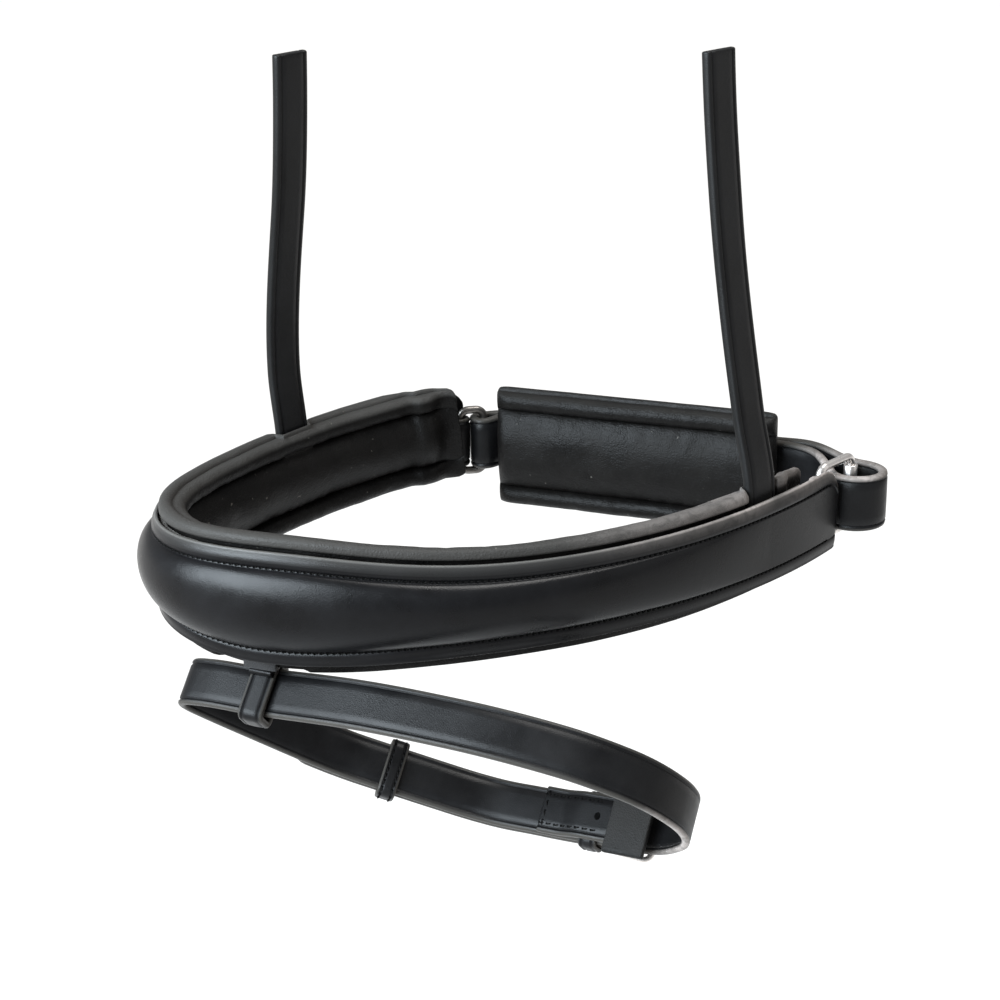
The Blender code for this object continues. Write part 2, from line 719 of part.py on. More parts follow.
def hanger(name, at, route):
    """Strap sewn in behind the backing, rising to the headpiece."""
    x, y = NOSE.spot(at)
    outward = left_of(NOSE.way(at))
    axes = Matrix(((outward[0], 0, outward[1], 0), (outward[1], 0, -outward[0], 0),
                   (0, 1, 0, 0), (0, 0, 0, 1)))
    sewn = LAYER - HANGER_THICK / 2
    anchors = ((sewn, HANGER_TAIL, 90.0), (sewn, HANGER_FREE, 90.0), *route)
    line = Line(curve(anchors))
    stations = line.rows(0.0, line.length, turn=3.0, longest=0.022)
    shape = strap_shape(HANGER_WIDTH / 2, HANGER_THICK)
    mesh = bent(name, line, stations, EDGE_ROWS, shape)
    add(name, mesh, BRIDLE_LEATHER, matrix=Matrix.Translation((x, y, 0.0)) @ axes)


def flash_tab():
    """Leather sewn in under the nosepiece, narrowing to the line where the loop swings."""
    stations = np.linspace(-1.0, 1.0, 8)
    rows = (HINGE_Z + CLEARANCE, HINGE_Z + 0.0025, -0.0150, TAB_TOP)
    widths = (TAB_NECK / 2, TAB_NECK / 2, TAB_WIDTH / 2, TAB_WIDTH / 2)

    def shape(x, height):
        s = TAB_S + x * np.interp(height, rows, widths)
        return s, height, np.full_like(s, LAYER), np.full_like(s, LAYER - TAB_THICK)
    add("flash_tab", bent("flash_tab", NOSE, stations, rows, shape), BRIDLE_LEATHER)


# Rings

def ring_bar(near_end):
    """Place of the bar that the chape holds."""
    s = RING_BAR_FROM_END if near_end else NOSE.length - RING_BAR_FROM_END
    return NOSE.spot(s, RING_BAR_LAYER)


def ring_chape(name, near_end, z):
    """Leather folded round the ring's bar, its two ends sewn in on both sides of a layer."""
    outer = -CLEARANCE - TAB_THICK / 2
    inner = LAYER - TAB_THICK / 2
    radius = outer - RING_BAR_LAYER
    anchors = [(RING_CHAPE_OUTER_END, outer, 180.0), (RING_BAR_FROM_END, outer, 180.0),
               (RING_BAR_FROM_END - radius, RING_BAR_LAYER, 270.0),
               (RING_BAR_FROM_END, RING_BAR_LAYER - radius, 360.0),
               (RING_CHAPE_JOIN - 0.001, inner, 360.0), (RING_CHAPE_INNER_END, inner, 360.0)]
    flat = curve(anchors)
    along = flat[:, 0] if near_end else NOSE.length - flat[:, 0]
    line = Line(NOSE.spot(along, flat[:, 1]))
    stations = line.rows(0.0, line.length, turn=24.0, longest=0.008)
    shape = strap_shape(RING_CHAPE_WIDTH / 2, TAB_THICK, height=z)
    add(name, bent(name, line, stations, EDGE_ROWS, shape), BRIDLE_LEATHER)


def rings():
    for name, near_end, z, length, inside, heading in (
            ("near_ring", True, NEAR_RING_Z, NEAR_RING_LENGTH, NEAR_RING_INSIDE, NEAR_RING_HEADING),
            ("far_ring", False, FAR_RING_Z, FAR_RING_LENGTH, FAR_RING_INSIDE, FAR_RING_HEADING)):
        x, y = ring_bar(near_end)
        matrix = frame_at(x, y, heading, z)
        ring = add(name, ring_wire(name, length, inside, RING_CORNER), NICKEL, matrix=matrix)
        ring_chape(name + "_chape", near_end, z)
        if near_end:
            inner = WIRE + BAR_CLEARANCE
            straight = inside + 2 * (WIRE - RING_CORNER)
            data = tube("near_ring_roller", inner, inner + ROLLER_WALL, straight - CLEARANCE)
            place = Matrix.Translation((length, 0.0, 0.0))
            turned(add("near_ring_roller", data, NICKEL, ring, place))


# Buckles

def buckle(prefix, parent, matrix, length, rise, bar_wire, tongue_wire, width, roller):
    """Frame, tongue and, on the larger buckle, a roller, in a frame whose origin is the rear bar: X
    toward the front bar, Y outward, Z across the strap."""
    slope = math.atan2(rise, length)
    reach = math.hypot(length, rise)
    half = width / 2 + FRAME_SIDE_CLEARANCE + bar_wire
    loop = [(x * math.cos(slope), x * math.sin(slope), z)
            for x, z in rounded_box(0.0, reach, -half, half, FRAME_CORNER)]
    frame = add(prefix + "_frame", wire(prefix + "_frame", loop, bar_wire, True), NICKEL, parent, matrix)
    front = bar_wire
    if roller:
        inner = bar_wire + BAR_CLEARANCE
        front = inner + ROLLER_WALL
        data = tube(prefix + "_roller", inner, front, 2 * (half - FRAME_CORNER) - CLEARANCE)
        turned(add(prefix + "_roller", data, NICKEL, frame, Matrix.Translation((length, rise, 0.0))))
    hook = bar_wire + BAR_CLEARANCE + tongue_wire
    over = front + BAR_CLEARANCE + tongue_wire
    shaft = slope - math.asin((hook - over) / reach)
    points = []
    for angle in np.radians(np.linspace(-50.0, math.degrees(shaft) - 270.0, 9)):
        points.append((hook * math.cos(angle), hook * math.sin(angle), 0.0))
    start = Vector(points[-1])
    way = Vector((math.cos(shaft), math.sin(shaft), 0.0))
    points.append(tuple(start + way * reach * 0.5))
    points.append(tuple(start + way * reach))
    points.append(tuple(start + way * (reach + TONGUE_OVERHANG)))
    add(prefix + "_tongue", wire(prefix + "_tongue", points, tongue_wire), NICKEL, frame)


def fold_radius(bar_wire, thick):
    return bar_wire + BAR_CLEARANCE + thick / 2


def fold_reach(bar_wire, tongue_wire, thick):
    """How far the folded leather or the tongue's hook reaches from the bar, whichever is more."""
    return bar_wire + BAR_CLEARANCE + max(thick, 2 * tongue_wire)


def slit_cutter(name, parent, matrix, bar_wire, tongue_wire, thick):
    """Slit in folded leather for the tongue's hook, no deeper than the leather."""
    radius = fold_reach(bar_wire, tongue_wire, thick) + CLEARANCE / 2
    bm = bmesh.new()
    width = 2 * (tongue_wire + SLIT_SIDE)
    bmesh.ops.create_cone(bm, cap_ends=True, segments=24, radius1=radius, radius2=radius, depth=width)
    return cutter(name, mesh_of(bm, name), parent, matrix)


def billet_over(bar_wire, tongue_wire, fold_thick, thick):
    """Height of the billet's middle over the rear bar."""
    return fold_reach(bar_wire, tongue_wire, fold_thick) + CLEARANCE * 1.2 + thick / 2


def slot_cutter(name, parent, x, y, heading, thick, height=0.0):
    """Oval slot in a billet where the tongue comes through."""
    mesh = punch(name, TONGUE_SLOT_LENGTH / 2, TONGUE_SLOT_WIDTH / 2, 2 * thick)
    matrix = frame_at(x, y, heading, height) @ Matrix.Rotation(math.radians(90.0), 4, "X")
    return cutter(name, mesh, parent, matrix)


def hole_cutters(prefix, parent, line, places, left, thick, height=0.0):
    """Round punched holes through the strap beside a line."""
    result = []
    for number, s in enumerate(places):
        x, y, heading = line.anchor(s, left)
        matrix = frame_at(x, y, heading, height) @ Matrix.Rotation(math.radians(90.0), 4, "X")
        name = f"{prefix}_hole_{number + 1}"
        result.append(cutter(name, punch(name, HOLE_RADIUS, HOLE_RADIUS, 1.2 * thick), parent, matrix))
    return result


# Jaw strap

def to_jaw(point):
    """A ground point in the jaw strap's frame."""
    away = np.asarray(point) - np.array(JAW_ORIGIN[:2])
    way = unit(JAW_HEADING)
    return np.array([away @ way, away @ left_of(way)])


def jaw_line():
    """Route of the jaw strap: sewn end, far ring, inner run, near ring, return run, buckle, tip."""
    layer = JAW_THICK + CLEARANCE
    far_front = ring_bar(False)
    bar = to_jaw(far_front + unit(FAR_RING_HEADING) * FAR_RING_LENGTH)
    wrap = fold_radius(WIRE, JAW_THICK) + JAW_RING_SLACK
    near_front = ring_bar(True)
    near_way = unit(NEAR_RING_HEADING)
    roller = to_jaw(near_front + near_way * NEAR_RING_LENGTH)
    middle = to_jaw(near_front + near_way * NEAR_RING_LENGTH / 2)
    around = moved(((0.0, wrap, 180.0), (-wrap, 0.0, 270.0), (0.0, -wrap, 360.0)), bar[0], bar[1], JAW_PULL)
    over = billet_over(JAW_BUCKLE_WIRE, JAW_TONGUE_WIRE, JAW_CHAPE_THICK, JAW_THICK)
    bar_h = jaw_bar_height()
    roller_under = JAW_BUCKLE_WIRE + BAR_CLEARANCE + ROLLER_WALL + BEND_CLEARANCE + JAW_THICK / 2
    billet_h = jaw_billet_height()
    loop = [(roller[0] + x, roller[1] + y, heading) for x, y, heading in JAW_LOOP]
    anchors = [(JAW_TAIL_END, layer, 180.0), (JAW_TAIL_TURN, layer, 180.0), *around,
               (JAW_RUN_START, 0.0, 0.0), (JAW_RUN_END, 0.0, 0.0), JAW_DRIFT,
               (middle[0], middle[1], JAW_RING_PASS), *loop,
               JAW_RETURN, (JAW_RETURN_FLAT, layer, 180.0), (JAW_BILLET_FALL, layer, 180.0),
               *moved(((0.0, roller_under, 0.0),), JAW_BAR_AT + JAW_BUCKLE_LENGTH, bar_h + JAW_BUCKLE_RISE,
                      JAW_BILLET_CLIMB),
               (JAW_BAR_AT, bar_h + over, 178.0),
               (JAW_BILLET_JOIN, billet_h, 180.0), (JAW_TIP, billet_h, 180.0)]
    return Line(curve(anchors))


def jaw_bar_height():
    """Height of the buckle's rear bar over the inner run's middle: its chape lies on that run."""
    return JAW_THICK / 2 + CLEARANCE + JAW_CHAPE_THICK / 2 + fold_radius(JAW_BUCKLE_WIRE, JAW_CHAPE_THICK)


def jaw_billet_height():
    """Height of the billet's middle where it lies on both leaves of the chape."""
    return JAW_THICK + 3 * CLEARANCE + 2 * JAW_CHAPE_THICK + CLEARANCE / 2


def jaw_strap(frame):
    line = jaw_line()
    stations = line.rows(0.0, line.length - JAW_TIP_TAPER, turn=10.0, longest=0.020)
    tip = line.length - JAW_TIP_TAPER * np.array([0.6, 0.3, 0.1, 0.0])
    shape = strap_shape(tip_half(JAW_WIDTH / 2, line.length, JAW_TIP_TAPER), JAW_THICK)
    mesh = bent("jaw_strap", line, np.concatenate([stations, tip]), EDGE_ROWS, shape)
    strap = add("jaw_strap", mesh, BRIDLE_LEATHER, frame)
    over = billet_over(JAW_BUCKLE_WIRE, JAW_TONGUE_WIRE, JAW_CHAPE_THICK, JAW_THICK)
    x, drop, slope = JAW_SLOT
    cut(strap, slot_cutter("jaw_billet_slot", frame, JAW_BAR_AT + x, jaw_bar_height() + over + drop, slope,
                           JAW_THICK))


def jaw_buckle(frame):
    bar_h = jaw_bar_height()
    place = Matrix.Translation((JAW_BAR_AT, bar_h, 0.0))
    buckle("jaw_buckle", frame, place, JAW_BUCKLE_LENGTH, JAW_BUCKLE_RISE, JAW_BUCKLE_WIRE, JAW_TONGUE_WIRE,
           JAW_WIDTH, True)
    radius = fold_radius(JAW_BUCKLE_WIRE, JAW_CHAPE_THICK)
    upper = JAW_CHAPE_THICK + CLEARANCE - radius
    anchors = [(JAW_CHAPE_END, -radius, 0.0), *fold(radius), (JAW_CHAPE_JOIN, upper, 180.0),
               (JAW_CHAPE_END + 0.002, upper, 180.0)]
    line = Line(curve(anchors))
    stations = line.rows(0.0, line.length, turn=24.0, longest=0.020)
    shape = strap_shape(JAW_WIDTH / 2, JAW_CHAPE_THICK)
    mesh = bent("jaw_buckle_chape", line, stations, EDGE_ROWS, shape)
    chape = add("jaw_buckle_chape", mesh, BRIDLE_LEATHER, frame, place)
    slit = slit_cutter("jaw_chape_slit", frame, place, JAW_BUCKLE_WIRE, JAW_TONGUE_WIRE, JAW_CHAPE_THICK)
    cut(chape, slit)


def jaw_keepers(frame):
    run = Line(((PAD_START, 0.0), (PAD_END, 0.0)))
    low = -JAW_THICK / 2
    high = jaw_billet_height() + JAW_THICK / 2
    for name, at in (("jaw_fixed_keeper", JAW_FIXED_KEEPER_AT), ("jaw_runner_keeper", JAW_RUNNER_AT)):
        data = keeper(name, low, high, JAW_WIDTH, KEEPER_THICK, JAW_KEEPER_WIDTH)
        add(name, data, BRIDLE_LEATHER, frame, across_strap(run, at - PAD_START))


def jaw_pad(frame):
    """Cushion behind the strap, with its backing and the sleeves that slide on the strap."""
    run = Line(((PAD_START, 0.0), (PAD_END, 0.0)))
    sleeve_reach = JAW_THICK / 2 + KEEPER_SLACK + SLEEVE_THICK
    backing_outer = -sleeve_reach - CLEARANCE
    pad_outer = backing_outer - PAD_BACKING_THICK - CLEARANCE

    def half_height(end, corner, inset):
        return PAD_HEIGHT / 2 - inset - corner_inset(end, corner)

    def backing(s, v):
        end = np.minimum(s, run.length - s) - PAD_BACKING_INSET
        half = half_height(end, PAD_CORNER, PAD_BACKING_INSET)
        return strap_shape(half, PAD_BACKING_THICK, backing_outer - PAD_BACKING_THICK / 2)(s, v)

    def cushion(s, v):
        end = np.minimum(s, run.length - s)
        half = half_height(end, PAD_CORNER, 0.0)
        height, thick = cushion_section(v, -half, half, PAD_ROLL, PAD_ROLL_THICK, PAD_GROOVE_THICK,
                                        PAD_THICK, PAD_RIM_THICK)
        swell = np.clip(end / PAD_SWELL, 0.0, 1.0)
        swell = np.sqrt(1 - (1 - swell) ** 2)
        thick = PAD_RIM_THICK + (thick - PAD_RIM_THICK) * swell
        rim = np.where(np.abs(v) > 0.9, PAD_RIM_SET_BACK * swell, 0.0)
        return s, height, pad_outer - rim, pad_outer - np.maximum(thick, rim + CUSHION_LEAST)

    for name, shape, rows, start, finish in (
            ("jaw_pad_backing", backing, EDGE_ROWS, PAD_BACKING_INSET, BRIDLE_LEATHER),
            ("jaw_pad", cushion, CUSHION_ROWS, 0.0, SOFT_LEATHER)):
        ends = start + np.array([0.0, 0.15 * PAD_CORNER, 0.5 * PAD_CORNER, PAD_CORNER, PAD_SWELL])
        middle = np.linspace(ends[-1], run.length - ends[-1], 8)[1:-1]
        stations = np.concatenate([ends, middle, run.length - ends[::-1]])
        add(name, bent(name, run, stations, rows, shape), finish, frame)
    layer = JAW_THICK + CLEARANCE
    for name, at in (("jaw_pad_sleeve_far", FAR_SLEEVE_AT), ("jaw_pad_sleeve_near", NEAR_SLEEVE_AT)):
        data = keeper(name, -JAW_THICK / 2, layer + JAW_THICK / 2, JAW_WIDTH, SLEEVE_THICK, SLEEVE_LENGTH)
        add(name, data, BRIDLE_LEATHER, frame, across_strap(run, at - PAD_START))


def jaw_assembly():
    matrix = Matrix.Translation(JAW_ORIGIN) @ Matrix.Rotation(math.radians(JAW_HEADING), 4, "Z")
    frame = empty("jaw_frame", matrix @ Matrix.Rotation(math.radians(-JAW_CLIMB), 4, "Y"))
    jaw_strap(frame)
    jaw_buckle(frame)
    jaw_keepers(frame)
    jaw_pad(frame)


# Flash strap

def flash_lines():
    """The strap's outer strand and its whole route, from the sewn end round to the tip."""
    x, y, heading = FLASH_BAR
    bar = moved(((0.0, FLASH_THICK / 2 + CLEARANCE / 2, 0.0),), x, y, heading)[0]
    bx, by = bar[0], bar[1] + FLASH_OUT
    away = heading - 180.0
    spread = FLASH_THICK + KEEPER_SLACK + FLASH_KEEPER_THICK + CLEARANCE
    side = spread / 2
    leaf = moved(((-FLASH_LEAF_END, side, 180.0),), bx, by, away)
    strand = [(a, b + FLASH_OUT, turn) for a, b, turn in FLASH_MAIN]
    main = Line(curve(leaf + strand))
    radius = fold_radius(FLASH_BUCKLE_WIRE, FLASH_THICK)
    layer = FLASH_THICK + CLEARANCE
    along = np.linspace(FLASH_TAIL_LENGTH, 0.0, int(FLASH_TAIL_LENGTH / ROUTE_STEP))
    past_keeper = FLASH_FIXED_KEEPER_AT + FLASH_KEEPER_WIDTH / 2 + CLEARANCE
    apart = np.interp(along, (past_keeper, past_keeper + FLASH_KEEPER_WIDTH), (spread, layer))
    tail = main.spot(along, apart)
    around = curve([main.anchor(0.0, spread, back=True), *fold(radius, away, bx, by), main.anchor(0.0)])
    under = FLASH_BUCKLE_WIRE + BEND_CLEARANCE + FLASH_THICK / 2
    over = billet_over(FLASH_BUCKLE_WIRE, FLASH_TONGUE_WIRE, FLASH_THICK, FLASH_THICK)
    front = moved(((0.0, under, 0.0),), FLASH_BUCKLE_LENGTH, FLASH_BUCKLE_RISE, FLASH_BILLET_CLIMB)
    through = moved((*front, (0.0, over, 180.0)), bx, by, away)
    back = curve([strand[-1], *through, main.anchor(FLASH_BILLET_JOIN, -layer)])
    billet = main.beside(FLASH_BILLET_JOIN, FLASH_BILLET_END, -layer)
    route = Line(np.vstack([tail, around, main.points, back, billet]))
    return main, route, (bx, by, away)


def flash_loop(hinge):
    """Band round the strap below the tab, with a lug up to the hinge line."""
    inner_depth = FLASH_THICK / 2 + LOOP_SLACK
    inner_half = FLASH_WIDTH / 2 + LOOP_SIDE_SLACK
    inner = rounded_box(FLASH_OUT - inner_depth, FLASH_OUT + inner_depth, -FLASH_LOW - inner_half,
                        -FLASH_LOW + inner_half, 0.0006, steps=2)
    outer_depth = inner_depth + LOOP_LEATHER
    outer_half = inner_half + LOOP_LEATHER
    outer = rounded_box(FLASH_OUT - outer_depth, FLASH_OUT + outer_depth, -FLASH_LOW - outer_half,
                        -FLASH_LOW + outer_half, 0.0022, steps=3)
    wall = FLASH_OUT - outer_depth
    nose = TAB_THICK / 2
    centre = unit(FLASH_TILT - 90.0) * (nose + CLEARANCE / 4)
    lug = [(wall, centre[1] + nose)]
    for angle in (90.0, 135.0, 180.0, 225.0, 270.0):
        lug.append(tuple(centre + unit(angle) * nose))
    lug.append((wall, centre[1] - nose))
    corner = next(i for i, point in enumerate(outer) if point[0] <= wall + 1e-6 and point[1] < -FLASH_LOW)
    outer = outer[:corner] + lug + outer[corner:]
    axes = Matrix(((0, 0, 1, 0), (1, 0, 0, 0), (0, 1, 0, 0), (0, 0, 0, 1)))
    add("flash_loop", outline_piece("flash_loop", (outer, inner), LOOP_WIDTH), BRIDLE_LEATHER, hinge, axes)


def flash_guard(hinge, place):
    """Wider leather behind the buckle, so that no metal meets the chin."""
    first, last = FLASH_GUARD
    reach = fold_reach(FLASH_BUCKLE_WIRE, FLASH_TONGUE_WIRE, FLASH_THICK)
    middle = -reach - CLEARANCE - FLASH_GUARD_THICK / 2
    line = Line(((first, middle), (last, middle)))
    half = FLASH_GUARD_WIDTH / 2
    corners = BEVEL * 2 * np.array([0.0, 0.3, 1.0])
    stations = np.concatenate([corners, line.length - corners[::-1]])

    def wide(s):
        return half - corner_inset(np.minimum(s, line.length - s), BEVEL * 2)
    mesh = bent("flash_guard", line, stations, EDGE_ROWS, strap_shape(wide, FLASH_GUARD_THICK))
    add("flash_guard", mesh, BRIDLE_LEATHER, hinge, place)


def flash_assembly():
    """Everything that hangs from the tab, in a frame on its hinge line."""
    x, y = NOSE.spot(TAB_S, LAYER - TAB_THICK / 2)
    way = -NOSE.way(TAB_S)
    heading = math.degrees(math.atan2(way[1], way[0])) + HINGE_TURN
    tilt = Matrix.Rotation(math.radians(-FLASH_TILT), 4, "X")
    hinge = empty("flash_hinge", frame_at(x, y, heading, HINGE_Z) @ tilt)
    main, route, (bx, by, away) = flash_lines()
    low = -FLASH_LOW
    stations = route.rows(0.0, route.length - FLASH_TIP_TAPER, turn=10.0, longest=0.018)
    tip = route.length - FLASH_TIP_TAPER * np.array([0.6, 0.3, 0.1, 0.0])
    shape = strap_shape(tip_half(FLASH_WIDTH / 2, route.length, FLASH_TIP_TAPER), FLASH_THICK, height=low)
    mesh = bent("flash_strap", route, np.concatenate([stations, tip]), EDGE_ROWS, shape)
    strap = add("flash_strap", mesh, BRIDLE_LEATHER, hinge)
    place = frame_at(bx, by, away, low)
    buckle("flash_buckle", hinge, place, FLASH_BUCKLE_LENGTH, FLASH_BUCKLE_RISE, FLASH_BUCKLE_WIRE,
           FLASH_TONGUE_WIRE, FLASH_WIDTH, False)
    over = billet_over(FLASH_BUCKLE_WIRE, FLASH_TONGUE_WIRE, FLASH_THICK, FLASH_THICK)
    x, drop, slope = FLASH_SLOT
    slot = moved(((x, over + drop, slope),), bx, by, away)[0]
    layer = FLASH_THICK + CLEARANCE
    places = FLASH_RUNNER_AT + HOLE_PITCH * np.array([-1.0, 0.0, 1.0])
    holes = hole_cutters("flash", hinge, main, places, -layer, FLASH_THICK, low)
    cut(strap,
        slit_cutter("flash_slit", hinge, place, FLASH_BUCKLE_WIRE, FLASH_TONGUE_WIRE, FLASH_THICK),
        slot_cutter("flash_slot", hinge, *slot, FLASH_THICK, low), *holes)
    flash_loop(hinge)
    flash_guard(hinge, place)
    half = FLASH_THICK / 2
    for name, at, thick in (("flash_fixed_keeper", FLASH_FIXED_KEEPER_AT, FLASH_KEEPER_THICK),
                            ("flash_runner_keeper", FLASH_RUNNER_AT, KEEPER_THICK)):
        data = keeper(name, -layer - half, half, FLASH_WIDTH, thick, FLASH_KEEPER_WIDTH)
        add(name, data, BRIDLE_LEATHER, hinge, across_strap(main, at, low))


for obj in list(bpy.data.objects):
    bpy.data.objects.remove(obj)
parts = bpy.data.collections.new(COLLECTION)
cutters = bpy.data.collections.new("cutters")
bpy.context.scene.collection.children.link(parts)
bpy.context.scene.collection.children.link(cutters)

near_half = runs_line(FRONT, FRONT_HEADING, NEAR_RUNS)
far_half = runs_line(FRONT, FRONT_HEADING + 180.0, FAR_RUNS)
NOSE = Line(np.vstack([near_half[::-1], far_half[1:]]))
FRONT_AT = Line(near_half).length
GRID = np.arange(ROW_PITCH, NOSE.length - ROW_PITCH / 2, ROW_PITCH)
LAYER = -2 * CLEARANCE - BACKING_THICK
RING_BAR_LAYER = -CLEARANCE - TAB_THICK / 2 - fold_radius(WIRE, TAB_THICK)
NEAR_HANGER_S = NEAR_HANGER_AT
FAR_HANGER_S = NOSE.length - FAR_HANGER_FROM_END
TAB_S = FRONT_AT + TAB_AT

nosepiece_leather()
nosepiece_filler()
nosepiece_backing()
nosepiece_lining()
hanger("near_hanger", NEAR_HANGER_S, NEAR_HANGER_ROUTE)
hanger("far_hanger", FAR_HANGER_S, FAR_HANGER_ROUTE)
flash_tab()
rings()
jaw_assembly()
flash_assembly()
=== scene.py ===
"""Looks of the crank noseband: leather with grain, pressed lines and stitches, padded cushions with
rolls, seams and wrinkles, and nickel wire. Metres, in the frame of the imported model."""

import math

import bmesh
import bpy
import numpy as np
from mathutils import Matrix, Vector, noise


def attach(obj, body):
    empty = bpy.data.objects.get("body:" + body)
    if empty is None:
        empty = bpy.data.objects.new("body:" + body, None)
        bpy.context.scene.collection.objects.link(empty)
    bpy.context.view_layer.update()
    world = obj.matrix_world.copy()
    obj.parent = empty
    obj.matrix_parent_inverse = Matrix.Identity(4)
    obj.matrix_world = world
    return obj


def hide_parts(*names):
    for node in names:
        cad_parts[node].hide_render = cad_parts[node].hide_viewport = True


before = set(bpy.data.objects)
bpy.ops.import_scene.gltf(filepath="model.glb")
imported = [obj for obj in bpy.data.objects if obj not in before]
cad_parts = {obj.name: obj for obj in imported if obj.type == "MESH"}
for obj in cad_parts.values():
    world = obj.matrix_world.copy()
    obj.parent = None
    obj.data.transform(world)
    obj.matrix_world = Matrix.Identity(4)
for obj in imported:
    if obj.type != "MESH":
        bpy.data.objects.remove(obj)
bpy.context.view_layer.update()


# Gaps between pieces that touch: flat leather, leather or a tongue round a bar, leather bent under
# a bar
CLEARANCE = 0.0003
BAR_CLEARANCE = 0.0002
BEND_CLEARANCE = 0.0004

# Route of the nosepiece from the middle of its front: each run is a length and a turn in degrees
FRONT = (-0.0001, -0.0921)
FRONT_HEADING = 31.0
NEAR_RUNS = ((0.065, 27.0), (0.075, 25.0), (0.063, 15.5))
FAR_RUNS = ((0.020, -17.0), (0.028, -41.5), (0.030, -43.5), (0.050, -15.0), (0.0775, -20.7))
RUN_BLEND = 0.024
ROUTE_STEP = 0.0005

# Outer leather of the nosepiece, with a raised roll between two sewn grooves
FACE_THICK = 0.0022
FACE_HEIGHT = 0.0272
FRONT_RISE = 0.0085
FRONT_RISE_REACH = 0.045
FACE_CORNER = 0.009
FACE_LOW_CORNER = 0.0016
FACE_END_DROP = 0.0018
FACE_DROP_REACH = 0.0900
CORNER_FILL = 0.8
FLANGE = 0.0046
GROOVE_HALF = 0.0006
GROOVE_DEEP = 0.00038
ROLL_RISE = 0.005
ROLL_FULL_REACH = 0.060
ROLL_REACH = 0.164

# Rows of points along it and its rounded ends; places of the rows across each flange from its edge,
# how far they fall back, how pale they are painted as a highlight, and its stitches
FACE_STEP = 0.0012
FACE_END = 0.0008
FLANGE_ROWS = (0.0007, 0.0016, 0.0028)
LOW_FLANGE_FALL = (0.00035, 0.00012, 0.0)
HIGH_FLANGE_FALL = (0.00010, 0.00042, 0.00105)
HIGH_FLANGE_HIGHLIGHT = (0.32, 0.40, 0.54)
LOW_FLANGE_HIGHLIGHT = 0.25
LOW_EDGE_HIGHLIGHT = 0.35
HIGH_EDGE_SOFT = 0.00050
LOW_EDGE_SOFT = 0.00015
NOSE_STITCH_END = 0.006
NOSE_STITCH_PITCH = 0.00185

# Board behind the outer leather
BACKING_THICK = 0.0016

# Lining cushion: sewn rolls along both edges, a crowned panel between them, flat flaps at the ends
LINING_TOP = 0.0030
LINING_LOW = 0.0040
LINING_ROLL = 0.0070
LINING_ROLL_THICK = 0.0066
LINING_PANEL_THICK = 0.0084
LINING_GROOVE_THICK = 0.0030
NEAR_LINING_END = 0.0150
FAR_LINING_END = 0.0062
LINING_CORNER = 0.0030
LINING_PAST_FOLD = 0.0030
LINING_PAST_JOIN = 0.0020
LINING_PAST_CHAPE = 0.0010
FAR_LINING_LEAN = 0.0029
FAR_LINING_LEAN_REACH = 0.0300
FAR_LINING_LIFT = 0.0015
FAR_LINING_LIFT_REACH = 0.0800
LINING_RIM_THICK = 0.0024
LINING_FLAP = 0.0065
LINING_SWELL = 0.006
STEP_OVER_CHAPE = 0.003
LINING_STITCH_IN = 0.003
LINING_STITCH_PITCH = 0.0021

# Cushions: points across the rolls and the panel, turns of the rounded edges, thickness where they
# aren't padded, least leather over a room in the back, how a room ends, rows of points
ROLL_POINTS = 11
PANEL_POINTS = 21
CUSHION_EDGE_TURNS = (155.0, 120.0, 90.0, 60.0, 25.0)
CUSHION_EDGE_IN = 0.0004
CUSHION_EDGE_RISE = 0.0003
CUSHION_EDGE_SWELL = 0.0011
CUSHION_LOW_RISE = 0.0006
FLAT_PAD = 0.0019
LEAST_PAD = 0.0011
PANEL_RISE = 0.0125
ROOM_SIDE_EASE = 0.0012
ROOM_END_EASE = 0.0008
BACK_POINTS = 17
BACK_FROM_TOP = 0.0040
BACK_FROM_LOW = 0.0006
LINING_STEP = 0.0013
PAD_STEP = 0.0011
CUSHION_END = 0.001

# The cushions' top rim, painted paler as a highlight, and the lining's lip, which reaches over the
# outer leather's top edge
RIM_HIGHLIGHT_FROM = 0.0034
RIM_HIGHLIGHT_EASE = 0.0020
LIP_ROWS = np.array((0.0008, 0.0013, 0.0018, 0.0022, 0.0025, 0.0027))
LIP_HEIGHT = 0.0027
LIP_EASE = 0.0008
LIP_RISE = 0.0019
LIP_START = 0.022
LIP_START_EASE = 0.006
LIP_PAST_HANGER = 0.0008
LIP_HANGER_EASE = 0.002

# Hangers: thickness, width, ends of the sewn stretch, and each route above it as sideways place
# from the nosepiece line, height and heading
HANGER_THICK = 0.0030
HANGER_WIDTH = 0.0130
HANGER_TAIL = -0.0080
HANGER_FREE = 0.0120
NEAR_HANGER_AT = 0.0382
FAR_HANGER_FROM_END = 0.0760
NEAR_HANGER_ROUTE = ((-0.0100, 0.0400, 103.0), (-0.0205, 0.0900, 99.5), (-0.0280, 0.1475, 95.0))
FAR_HANGER_ROUTE = ((-0.0010, 0.0380, 89.0), (-0.0066, 0.0930, 98.0), (-0.0104, 0.1420, 92.0))

# Rings at the two ends, their leather chapes, and the roller that the jaw strap turns on
WIRE = 0.0014
NEAR_RING_INSIDE = 0.0220
FAR_RING_INSIDE = 0.0204
RING_CORNER = 0.0030
NEAR_RING_Z = -0.0002
NEAR_RING_LENGTH = 0.0174
NEAR_RING_HEADING = 90.0
FAR_RING_Z = -0.0044
FAR_RING_LENGTH = 0.0086
FAR_RING_HEADING = 56.0
RING_BAR_FROM_END = 0.0035
RING_CHAPE_WIDTH = 0.0180
RING_CHAPE_OUTER_END = 0.019
RING_CHAPE_INNER_END = 0.022
RING_CHAPE_JOIN = 0.012
FAR_FOLD_SLACK = 0.00042
ROLLER_WALL = 0.0007
ROLLER_RIM = 0.00022
ROLLER_SEAM = 0.00012
ROLLER_SIDES = 40

